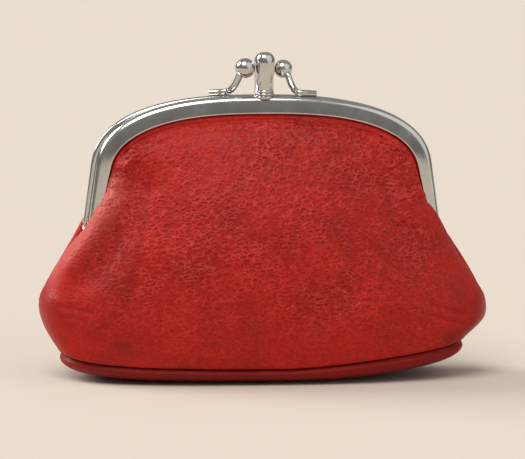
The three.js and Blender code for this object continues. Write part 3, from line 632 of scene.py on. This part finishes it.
rearCreases = [
    ([(-36.5, 70), (-41, 62), (-43, 56), (-45, 50)], 3.6, -2.2),
    ([(38, 70), (42.5, 62), (44.5, 56), (47, 50)], 3.4, -2.2),
    ([(-35, 63), (-34, 52), (-36, 43)], 2.8, 0.8), ([(36, 64), (35, 52), (37, 43)], 2.6, 0.9),
    ([(37, 36), (41, 24), (47, 15), (52, 10)], 1.6, 0.8), ([(-60, 21), (-48, 20)], 0.9, 0.3),
    ([(-24, 27), (-6, 25.5), (10, 27)], 1.0, 0.22)]
rearSmudges = [(16, 14, 6, 3.5, 0.45), (-52, 24, 5, 5, 0.35), (-20, 48, 7, 4, 0.2)]
# a paler tone along the fold's crest, part wear and part painted highlight
rearWearAndSheen = [([(-38, 65), (-43, 56), (-46.5, 49), (-53, 41), (-60, 32)], 2.3, 0.3)]
frontWall = dict(facing=1, seed=11, creases=frontCreases, stainsAndShade=frontStainsAndShade, wearAndSheen=frontWearAndSheen)
rearWall = dict(facing=-1, seed=47, creases=rearCreases, stainsAndShade=rearSmudges, wearAndSheen=rearWearAndSheen)  # turned round


def squared(value):
    return np.sign(value) * np.abs(value) ** (2 / seam["power"])


def seamHeight(x):
    out = np.minimum(np.abs(x) / seam["halfWidth"], 1)
    lift = seam["lift"] * smoothStep(*seam["liftRun"], x)
    return seam["low"] + seam["rise"] * out ** 2 + seam["corner"] * out ** 8 + lift


def footLine(facing):
    angle = np.linspace(-math.pi / 2, math.pi / 2, 1500)
    x = seam["halfWidth"] * squared(np.sin(angle))
    y = wall["sideY"] - (seam["halfDepth"] - wall["footInset"]) * squared(np.maximum(np.cos(angle), 0))
    return np.stack([x, y, seamHeight(x * facing) + wall["lift"]], -1)


def mouthLine(low, high):  # place and arch share, along the rim of the channel
    shares = np.linspace(low, high, 500)
    return np.column_stack([onArch(shares, wall["mouthInset"], wall["mouthY"]), shares])


def sideLine(side, facing):  # up the side seam, the fold and the leg, to the shoulder
    column = 2 if facing < 0 else 0 if side < 0 else 1
    edge = np.array(sideEdge)[:, [column, 3, 4]] * (side, -1, 1)
    footEnd = seamHeight(side * facing * seam["halfWidth"]) + wall["lift"]
    edge[:, 2] += (footEnd - edge[0, 2]) * (1 - smoothStep(edge[0, 2], wall["footRun"], edge[:, 2]))
    rim = mouthLine(0, wall["corner"]) if side < 0 else mouthLine(1, 1 - wall["corner"])
    leg = rim[rim[:, 2] > wall["hemTop"]]
    line = softCurve(np.vstack([edge, leg[:1, :3], leg[60:61, :3]]), 1300)
    line = line[line[:, 2] <= leg[0, 2] + 1e-6]
    return np.vstack([np.column_stack([line, np.interp(line[:, 2], rim[:, 2], rim[:, 3])]), leg[1:]])


def spaced(count, edge, edgeCount):  # shares from 0 to 1, closer together near both ends
    ends = np.linspace(0, edge, edgeCount + 1)[:-1]
    return np.concatenate([ends, np.linspace(edge, 1 - edge, count - 2 * edgeCount), (1 - ends)[::-1]])


def normalsOf(grid):
    return unit(np.cross(np.gradient(grid, axis=1), np.gradient(grid, axis=0)))


def lineDistance(x, z, points):  # distance to a line of points, and the share along it
    points = np.asarray(points, float)
    best, where, run = np.full(x.shape, 1e9), np.zeros(x.shape), 0
    total = np.linalg.norm(np.diff(points, axis=0), axis=1).sum()
    for a, b in zip(points[:-1], points[1:]):
        length = np.linalg.norm(b - a)
        t = np.clip(((x - a[0]) * (b[0] - a[0]) + (z - a[1]) * (b[1] - a[1])) / length ** 2, 0, 1)
        distance = np.hypot(x - a[0] - t * (b[0] - a[0]), z - a[1] - t * (b[1] - a[1]))
        near = distance < best
        best, where = np.where(near, distance, best), np.where(near, (run + t * length) / total, where)
        run += length
    return best, where


def strokes(x, z, lines):  # how much of each drawn line is at a place, from 0 to its strength
    for points, width, strength in lines:
        distance, where = lineDistance(x, z, points)
        taper = smoothStep(0, relief["taper"], where) * smoothStep(0, relief["taper"], 1 - where)
        yield strength * hump(distance, 0, width) * taper


def plainWall(facing):  # swollen sheet between the foot, the mouth and the side edges
    w = wall
    u, v = spaced(w["columns"], *w["endColumns"]), spaced(w["rows"], *w["endRows"])
    foot, crown = evenly(footLine(facing), u), evenly(mouthLine(w["corner"], 1 - w["corner"]), u)
    left, right = evenly(sideLine(-1, facing), v), evenly(sideLine(1, facing), v)
    top = crown[:, :3]
    s, t = u[None, :, None], v[:, None, None]
    grid = (1 - t) * foot[None] + t * top[None]
    reaches = np.array([w["sideReach"], w["foldReach"], w["sideReach"]])
    for edge, end, reach in ((left, 0, (1 - s) ** reaches), (right, -1, s ** reaches)):
        grid = grid + reach * (edge[:, None, :3] - (1 - t) * foot[end] - t * top[end])  # less in the middle
    grid[..., 1] -= 4 * w["belly"] * (v * (1 - v))[:, None] * np.sin(math.pi * u)[None]
    return {"grid": grid, "u": u, "v": v, "share": crown[:, 3], "left": left[:, 3], "right": right[:, 3],
            "fromFoot": np.linalg.norm(top - foot, axis=1)[None] * v[:, None]}


def sideDistance(x, z, facing):
    nearest = np.full(x.shape, 1e9)
    for side in (-1, 1):
        edge = sideLine(side, facing)
        edge = edge[edge[:, 2] < wall["hemTop"]][::40, [0, 2]]
        nearest = np.minimum(nearest, lineDistance(x, z, edge)[0])
    return nearest


def wallSurface(settings):
    w, r, p, seed, facing = wall, relief, pebble, settings["seed"], settings["facing"]
    surface = plainWall(facing)
    grid, fromFoot = surface["grid"], surface["fromFoot"]
    x, z = grid[..., 0].copy(), grid[..., 2].copy()
    rimLine = mouthLine(0, 1)[::5]
    fromRim, rimShare = lineDistance(x, z, rimLine[rimLine[:, 2] > w["hemTop"] - 2][:, [0, 2]])
    along = rimShare * r["rimLength"]
    shoulder = hump(np.abs(x), *r["shoulder"])
    upper = smoothStep(*w["foldRun"], z)  # the side seam's narrow roll widens into the fold
    rollWidth = mix(w["rollWidth"], w["foldWidth"], upper)
    rollDepth = mix(w["rollDepth"], w["foldDepth"], upper)
    edgeShare = 1 - np.minimum(sideDistance(x, z, facing) / rollWidth, 1)
    grid[..., 1] += rollDepth * (1 - np.sqrt(1 - edgeShare ** 2)) * smoothStep(*w["rimRun"], fromRim)
    pucker = sizedNoise(along, fromRim, r["puckerSize"], seed + 2)
    pucker *= (r["pucker"][0] + r["pucker"][1] * shoulder) * np.exp(-fromRim / r["puckerFade"])
    ridge = sizedNoise(along + fromRim * r["wrinkleSlant"], fromRim, r["wrinkleSize"], seed + 7)
    wrinkle = (1 - np.abs(ridge)) ** r["wrinklePower"]  # fine lines along the rim
    pucker -= wrinkle * (r["wrinkle"][0] + r["wrinkle"][1] * shoulder) * hump(fromRim, 0, r["wrinkleFade"])
    height = pucker * smoothStep(*r["puckerRun"], fromRim)
    waver = softNoise(along / r["waver"], 0, seed + 1)
    for rise, distance, width, sway in r["rolls"]:
        height += rise * hump(fromRim, distance + sway * waver, width)
    wave = r["wave"] * sizedNoise(x, z, r["waveSize"], seed + 3)
    height += wave * smoothStep(*r["waveRim"], fromRim) * smoothStep(*r["waveFoot"], fromFoot)
    dent = r["dent"] * sizedNoise(x, z, r["dentSize"], seed + 4)
    height += dent * smoothStep(*r["dentRun"], fromRim)
    for crease in strokes(x, z, settings["creases"]):
        height -= crease
    height *= smoothStep(0, 1, fromRim)
    surface["grid"] = grid + normalsOf(grid) * height[..., None]
    dark = np.zeros(x.shape)
    ragged = 1 + r["ragged"] * sizedNoise(x, z, r["raggedSize"], seed + 5)
    # darker spots: stains, and painted shade in the left fold's valley
    for middleX, middleZ, halfX, halfZ, strength in settings["stainsAndShade"]:
        spot = np.hypot((x - middleX) / halfX, (z - middleZ) / halfZ) * ragged
        dark = np.maximum(dark, strength * (1 - smoothStep(*r["spotRun"], spot)))
    nearRim = smoothStep(*p["rimRun"], fromRim)
    coarse = mix(p["low"], 1.0, smoothStep(*p["footRun"], fromFoot))
    coarse *= (1 - p["sideLoss"] * smoothStep(*p["sideRun"], np.abs(x))) * nearRim
    coarse *= p["even"] + p["patchy"] * sizedNoise(x, z, p["patchSize"], seed + 6)
    coarse += p["gather"] * shoulder * hump(fromRim, 0, p["gatherRun"]) * nearRim  # the rim gathers it
    surface["stainAndShade"] = dark
    # paler line along the fold's crest: wear, and a painted highlight
    surface["wearAndSheen"] = sum(strokes(x, z, settings["wearAndSheen"]))
    surface["grain"] = np.clip(coarse, 0, p["most"])
    return surface


def loopOf(field):  # round the edge of a grid, from its lower left corner
    return np.concatenate([field[0, :-1], field[:-1, -1], field[-1, :0:-1], field[:0:-1, 0]])


def skirtRings(surface):  # turned-in lower and side edges, and the hem that goes into the channel
    grid = surface["grid"]
    border, way = loopOf(grid), loopOf(normalsOf(grid))
    along = np.roll(border, -1, 0) - np.roll(border, 1, 0)
    along = along + np.roll(along, 1, 0) + np.roll(along, -1, 0)
    out = unit(np.cross(along, way))
    share = np.zeros(grid.shape[:2])
    share[-1], share[:, 0], share[:, -1] = surface["share"], surface["left"], surface["right"]
    share = loopOf(share)
    hemmed = smoothStep(*wall["hemRun"], border[:, 2])[:, None]
    rings = []
    turns = np.linspace(0, math.pi * wall["turnShare"], len(wall["hem"]) + 1)[1:]
    for angle, (inset, y) in zip(turns, wall["hem"]):
        rolled = border + wall["turnIn"] * (math.sin(angle) * out - (1 - math.cos(angle)) * way)
        rings.append(mix(rolled, onArch(share, inset, y), hemmed))
    return rings


def closedSheet(outer, rings, inner, step):  # fine outer face, skirt and coarse inner face of one sheet
    rows, columns = outer.shape[:2]
    numbers = np.arange(rows * columns).reshape(rows, columns)
    loops, points, count = [loopOf(numbers)], [outer.reshape(-1, 3)], rows * columns
    faces = gridFaces(rows, columns)
    for ring in rings:
        points.append(ring)
        loops.append(np.arange(count, count + len(ring)))
        count += len(ring)
    for a, b in zip(loops[:-1], loops[1:]):
        faces += np.stack([a, b, np.roll(b, -1), np.roll(a, -1)], -1).tolist()
    points.append(inner.reshape(-1, 3))
    rows, columns = inner.shape[:2]
    back = loopOf(np.arange(count, count + rows * columns).reshape(rows, columns))
    faces += [face[::-1] for face in gridFaces(rows, columns, count)]
    last = loops[-1]
    for k in range(len(back)):
        edge = [int(last[(k * step + j) % len(last)]) for j in range(step + 1)]
        faces.append(edge[::-1] + [int(back[k]), int(back[(k + 1) % len(back)])])
    return np.vstack(points), faces


def setValues(piece, name, values):
    values = np.asarray(values, np.float32)
    kind, field = ("FLOAT", "value") if values.ndim == 1 else ("FLOAT_VECTOR", "vector")
    piece.data.attributes.new(name, kind, "POINT").data.foreach_set(field, values.ravel())


def newTree(name, inputs):  # node group with a geometry, and the sockets' identifiers by name
    tree = bpy.data.node_groups.new(name, "GeometryNodeTree")
    tree.interface.new_socket("Geometry", in_out="INPUT", socket_type="NodeSocketGeometry")
    names = {}
    for key, kind in inputs.items():
        socket = tree.interface.new_socket(key, in_out="INPUT", socket_type="NodeSocket" + kind)
        names[key] = socket.identifier
    tree.interface.new_socket("Geometry", in_out="OUTPUT", socket_type="NodeSocketGeometry")
    return tree, names, tree.nodes.new("NodeGroupInput").outputs


def endTree(tree, geometry, material):
    whole = addNode(tree, "GeometryNodeRealizeInstances", {"Geometry": geometry})
    done = addNode(tree, "GeometryNodeSetMaterial", {"Geometry": whole.outputs[0], "Material": material})
    addNode(tree, "NodeGroupOutput", {0: done.outputs[0]})


def namedValue(tree, name, kind):
    node = addNode(tree, "GeometryNodeInputNamedAttribute", {"Name": name}, data_type=kind)
    return node.outputs["Attribute"]


def grainTree():  # raises the leather beside the veins, along its own normal
    tree, names, given = newTree("pebbleGrain", {"Vein height": "Float", "Leather": "Material"})
    place, strength = namedValue(tree, "restPlace", "FLOAT_VECTOR"), namedValue(tree, "grain", "FLOAT")
    rise = times(tree, times(tree, grainNodes(tree, place)[1], strength), given["Vein height"])
    offset = vectorNode(tree, "SCALE", addNode(tree, "GeometryNodeInputNormal").outputs[0], rise)
    moved = addNode(tree, "GeometryNodeSetPosition", {"Geometry": given["Geometry"], "Offset": offset})
    endTree(tree, moved.outputs[0], given["Leather"])
    return tree, names


def madePlain(piece, tree, names, values):  # runs a node group on a piece, and keeps the result as its mesh
    modifier = piece.modifiers.new(tree.name, "NODES")
    modifier.node_group = tree
    for key, value in values.items():
        modifier[names[key]] = value
    seen = piece.evaluated_get(bpy.context.evaluated_depsgraph_get())
    mesh = bpy.data.meshes.new_from_object(seen)
    piece.modifiers.clear()
    piece.data = mesh
    mesh.name = piece.name


grainGroup, grainInputs = grainTree()


def leatherSheet(name, surface, turned):
    outer, coarse = surface["grid"], wall["coarse"]
    rings = skirtRings(surface)
    inner = (outer - normalsOf(outer) * wall["thickness"])[::coarse, ::coarse]
    points, faces = closedSheet(outer, rings, inner, coarse)
    if turned:
        points = turnedRound(points)
    piece = newPiece(name, points, faces, redLeather)
    setValues(piece, "restPlace", points * mm)
    for word in ("stainAndShade", "wearAndSheen", "grain"):
        skirt = [loopOf(surface[word]) * max(0, 1 - k / wall["fade"]) for k in range(1, len(rings) + 1)]
        plain = np.zeros(inner.size // 3)
        setValues(piece, word, np.concatenate([surface[word].ravel(), *skirt, plain]))
    madePlain(piece, grainGroup, grainInputs, {"Vein height": grain["height"] * mm, "Leather": redLeather})
    return piece


def hang(piece, word, nodes):  # sheet between the bag and a frame half
    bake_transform(piece)
    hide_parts(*nodes)


walls = {}
for word, settings in (("front", frontWall), ("rear", rearWall)):
    walls[word] = wallSurface(settings)
    piece = leatherSheet(word + "Leather", walls[word], settings["facing"] < 0)
    hang(piece, word, [word + "_panel", word + "_stiffener"])
    print(word, "leather made:", len(piece.data.polygons), "faces")


# base: a leather dish below the seam, which stands on the table

base = dict(flatHalfWidth=36.0, flatHalfDepth=10.5, lift=1.5, out=-0.7, forward=0.6, tuck=0.5,
    spreadEnd=0.88, tuckStart=0.86, lap=0.1, leanRun=(14.0, 62.0), around=320, start=0.003, up=40,
    upStart=0.08, thickness=1.1, edge=((0.2, 0.5), (0.5, 1.0), (1.4, 1.5), (1.4, 2.1)),
    shrink=(0.97, 0.93, 1), middle=(0.5, 0.5, 1), grain=0.35, stainAndShade=0.3, dirtSize=(9.0, 7.0),
    flat=(0.130, 0.048), flatArea=0.0052)  # metres


def baseFace(angle, turnUp, depth=0.0):
    spread = np.sin(np.clip(turnUp / base["spreadEnd"], 0, 1) * math.pi / 2)
    tuck = base["tuck"] * smoothStep(base["tuckStart"], 1, turnUp)
    halfWidth = mix(base["flatHalfWidth"], seam["halfWidth"] + base["out"], spread) - tuck
    halfDepth = mix(base["flatHalfDepth"], seam["halfDepth"] + base["forward"], spread) - tuck
    x, y = halfWidth * squared(np.sin(angle)), -halfDepth * squared(np.cos(angle))
    floor = seam["baseLift"] * smoothStep(*base["leanRun"], x)
    z = floor + (seamHeight(x) + base["lap"] - floor) * turnUp ** base["lift"] + depth
    return np.stack(np.broadcast_arrays(x, y, z), -1)


def basePoints(angles):
    turnUps = np.concatenate([[0.0], np.linspace(base["upStart"], 1, base["up"])])
    dish = [baseFace(angles, t) for t in turnUps]
    rimWay = np.stack([np.sin(angles), -np.cos(angles), 0 * angles], -1)
    edge = [dish[-1] + (0, 0, up) - rimWay * inward for up, inward in base["edge"]]
    inside = [baseFace(angles, t, base["thickness"]) * base["shrink"] for t in turnUps[::-4]]
    floor = baseFace(angles, 0.0, base["thickness"]) * base["middle"]
    return tube([dish[0] * base["middle"], *dish, *edge, *inside, floor])


angles = fullTurn(base["around"]) + base["start"]
points, faces = basePoints(angles)
basePiece = newPiece("shadedBaseLeather", points, faces, shadedBaseLeather)
setValues(basePiece, "restPlace", points * mm)
setValues(basePiece, "grain", np.full(len(points), base["grain"]))
dirt = np.clip(sizedNoise(points[:, 0], points[:, 1], base["dirtSize"], 5), 0, 1)
setValues(basePiece, "stainAndShade", base["stainAndShade"] * dirt)
rideOn(basePiece, "bag", "base_panel")
print("base made")


# stitches along the seams

stitch = dict(spacing=2.5, length=1.9, radius=0.24, inset=1.0, rise=0.55, sideInset=1.6, sideStart=2.5,
    sideEnd=34.0)


def stitchTree():
    tree, names, given = newTree("seamStitches", {"Spacing": "Float", "Length": "Float", "Radius": "Float",
                                                  "Thread": "Material"})
    curve = addNode(tree, "GeometryNodeMeshToCurve", {"Mesh": given["Geometry"]})
    spacing = {"Curve": curve.outputs[0], "Length": given["Spacing"]}
    places = addNode(tree, "GeometryNodeCurveToPoints", spacing, mode="LENGTH")
    bead = addNode(tree, "GeometryNodeMeshUVSphere", {"Segments": 8, "Rings": 6, "Radius": 1.0})
    size = addNode(tree, "ShaderNodeCombineXYZ", {"X": given["Radius"], "Y": given["Radius"],
                                                  "Z": times(tree, given["Length"], 0.5)})
    laid = addNode(tree, "GeometryNodeInstanceOnPoints",
                   {"Points": places.outputs["Points"], "Instance": bead.outputs["Mesh"],
                    "Rotation": places.outputs["Rotation"], "Scale": size.outputs[0]})
    endTree(tree, laid.outputs[0], given["Thread"])
    return tree, names


stitchGroup, stitchInputs = stitchTree()


def stitchLine(name, line, node):
    mesh = bpy.data.meshes.new(name)
    mesh.from_pydata((np.asarray(line) * mm).tolist(), [(k, k + 1) for k in range(len(line) - 1)], [])
    piece = addObject(name, mesh)
    sizes = {key: stitch[key.lower()] * mm for key in ("Spacing", "Length", "Radius")}
    madePlain(piece, stitchGroup, stitchInputs, dict(sizes, Thread=redThread))
    shadeSmooth(piece.data)
    rideOn(piece, "bag", node)


around = np.linspace(0, 2 * math.pi, 600)
seamX = (seam["halfWidth"] - stitch["inset"]) * squared(np.sin(around))
seamY = -(seam["halfDepth"] - stitch["inset"]) * squared(np.cos(around))
seamLine = np.stack([seamX, seamY, seamHeight(seamX) + stitch["rise"]], -1)
stitchLine("baseStitches", seamLine, "base_seam_thread")
for word, side in (("left", -1), ("right", 1)):
    edge = sideLine(side, 1)[:, :3] * (1, 0, 1) - (side * stitch["sideInset"], 0, 0)
    edge = edge[(edge[:, 2] > edge[0, 2] + stitch["sideStart"]) & (edge[:, 2] < stitch["sideEnd"])]
    stitchLine(word + "SideStitches", edge, word + "_side_seam_thread")
print("stitches made")


# lining and packing cords

liner = dict(depth=2.6, hemDepth=1.3, hemRun=(0.5, 1.0), hem=(5.0, 4.0, 3.0), hemY=-2.7, reach=0.985,
    coarse=4, thickness=0.4, middle=-0.5, baseShrink=(0.95, 0.88, 1), baseMiddle=(0.4, 0.4, 1),
    flat=(0.130, 0.088), flatArea=0.0082, baseFlat=(0.122, 0.042), baseArea=0.0042,
    weave=(0.13, 0.08))  # flat sizes and weave in metres
cord = dict(inset=3.0, y=-1.85, ends=(0.01, 0.99), count=240, strand=0.42, twist=0.22, turn=150.0)


def gridUv(piece, columns, rows):
    layer = piece.data.uv_layers.new(name="weave")
    index = np.zeros(len(piece.data.loops), np.int32)
    piece.data.loops.foreach_get("vertex_index", index)
    index %= columns * rows
    uv = np.stack([index % columns / columns, index // columns / rows], -1) * liner["weave"]
    layer.data.foreach_set("uv", uv.astype(np.float32).ravel())


def liningFace(surface):
    step = liner["coarse"]
    keep = np.where(np.abs(2 * surface["u"] - 1) < liner["reach"])[0][::step]
    face = surface["grid"][::step][:, keep]
    upper = smoothStep(*liner["hemRun"], surface["v"][::step])[:, None, None]
    depth = mix(liner["depth"], liner["hemDepth"], upper)
    hem = [onArch(surface["share"][keep], inset, liner["hemY"]) for inset in liner["hem"]]
    face = np.concatenate([face - normalsOf(face) * depth, np.array(hem)])
    face[..., 1] = np.minimum(face[..., 1], liner["middle"] - liner["thickness"])  # halves meet there
    return face


def cordPoints():  # two twisted strands along the channel
    line = onArch(np.linspace(*cord["ends"], cord["count"]), cord["inset"], cord["y"])
    turn = np.linspace(0, cord["turn"], cord["count"])
    radii = np.full(cord["count"], cord["strand"])
    strands = []
    for start in (0, math.pi):
        way = np.stack([0 * turn, np.cos(turn + start), np.sin(turn + start)], -1)
        strands.append(wire(line + cord["twist"] * way, radii, sides=10))
    return joined(strands)


for word, turned in (("front", False), ("rear", True)):
    face = liningFace(walls[word])
    points, faces = closedSheet(face, [], face - normalsOf(face) * liner["thickness"], 1)
    piece = newPiece(word + "Lining", turnedRound(points) if turned else points, faces, liningCloth)
    gridUv(piece, face.shape[1], face.shape[0])
    hang(piece, word, [word + "_lining"])
    points, faces = cordPoints()
    piece = newPiece(word + "PackingCord", turnedRound(points) if turned else points, faces, paperCord)
    rideOn(piece, word + "_half", word + "_packing_cord")

rings = [baseFace(angles[::2], t, liner["depth"]) * liner["baseShrink"] for t in np.linspace(0, 1, 14)]
back = [ring + (0, 0, liner["thickness"]) for ring in rings[::-1]]
points, faces = tube([rings[0] * liner["baseMiddle"], *rings, *back, back[-1] * liner["baseMiddle"]])
baseLining = newPiece("baseLining", points, faces, liningCloth)
gridUv(baseLining, len(rings[0]), len(points) // len(rings[0]))
rideOn(baseLining, "bag", "base_lining")
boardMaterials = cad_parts["base_board"].data.materials
boardMaterials.clear()
boardMaterials.append(card)
print("lining and cords made")


# floor, light and camera

studio = dict(floor=(0.62, 0.543, 0.46, 1), shade=0.97, cloud=6.0, rough=0.8, floorHalf=4.0, floorZ=-0.0002,
    horizon=(0.20, 0.197, 0.192, 1), zenith=(0.36, 0.355, 0.35, 1), skyRun=(-0.05, 0.6))  # floor in metres
lamps = dict(key=((-0.27, -0.5, 0.95), 40.0, 2.0), side=((-0.8, 0.3, 0.52), 34.0, 2.3),
    fill=((0.7, -0.5, 0.5), 70.0, 0.65))  # where from, width in degrees, power
view = dict(azimuth=-3.31, elevation=7.56, distance=900.0, aim=(0.3, 0.0, 43.0), lens=210.6, sensor=36.0)


def addFloor():
    material, tree, shader = newMaterial("paleFloor")
    cloud = noiseNode(tree, coordinates(tree, "Object"), studio["cloud"], 2.0)
    pale = studio["floor"]
    tone = mixColour(tree, cloud, tuple(studio["shade"] * c for c in pale[:3]) + (1,), pale)
    setInputs(tree, shader, {"Base Color": tone, "Roughness": studio["rough"]})
    mesh = bpy.data.meshes.new("floor")
    far, z = studio["floorHalf"], studio["floorZ"]
    mesh.from_pydata([(-far, -far, z), (far, -far, z), (far, far, z), (-far, far, z)], [], [(0, 1, 2, 3)])
    mesh.materials.append(material)
    addObject("floor", mesh)


def addLamp(name, place, width, power):  # wide soft lamp, far away
    lamp = bpy.data.lights.new(name, "SUN")
    lamp.angle, lamp.energy = math.radians(width), power
    holder = addObject(name, lamp)
    holder.location = place
    holder.rotation_euler = (-Vector(place)).to_track_quat("-Z", "Y").to_euler()


def addSky():
    world = bpy.data.worlds.new("studio")
    world.use_nodes = True
    tree = world.node_tree
    height = addNode(tree, "ShaderNodeSeparateXYZ", {0: coordinates(tree, "Object")}).outputs["Z"]
    glow = mixColour(tree, rangeNode(tree, height, *studio["skyRun"]), studio["horizon"], studio["zenith"])
    setInputs(tree, tree.nodes["Background"], {"Color": glow})
    bpy.context.scene.world = world


def addCamera():
    camera = bpy.data.cameras.new("camera")
    camera.lens, camera.sensor_width, camera.clip_start = view["lens"], view["sensor"], 0.01
    a, e = math.radians(view["azimuth"]), math.radians(view["elevation"])
    back = Vector((math.sin(a) * math.cos(e), -math.cos(a) * math.cos(e), math.sin(e)))
    holder = addObject("camera", camera)
    holder.location = Vector(view["aim"]) * mm + back * view["distance"] * mm
    holder.rotation_euler = (-back).to_track_quat("-Z", "Y").to_euler()
    bpy.context.scene.camera = holder


addFloor()
for name, lamp in lamps.items():
    addLamp(name, *lamp)
addSky()
bpy.context.scene.view_settings.view_transform = "Standard"
addCamera()
print("floor, light and camera set")
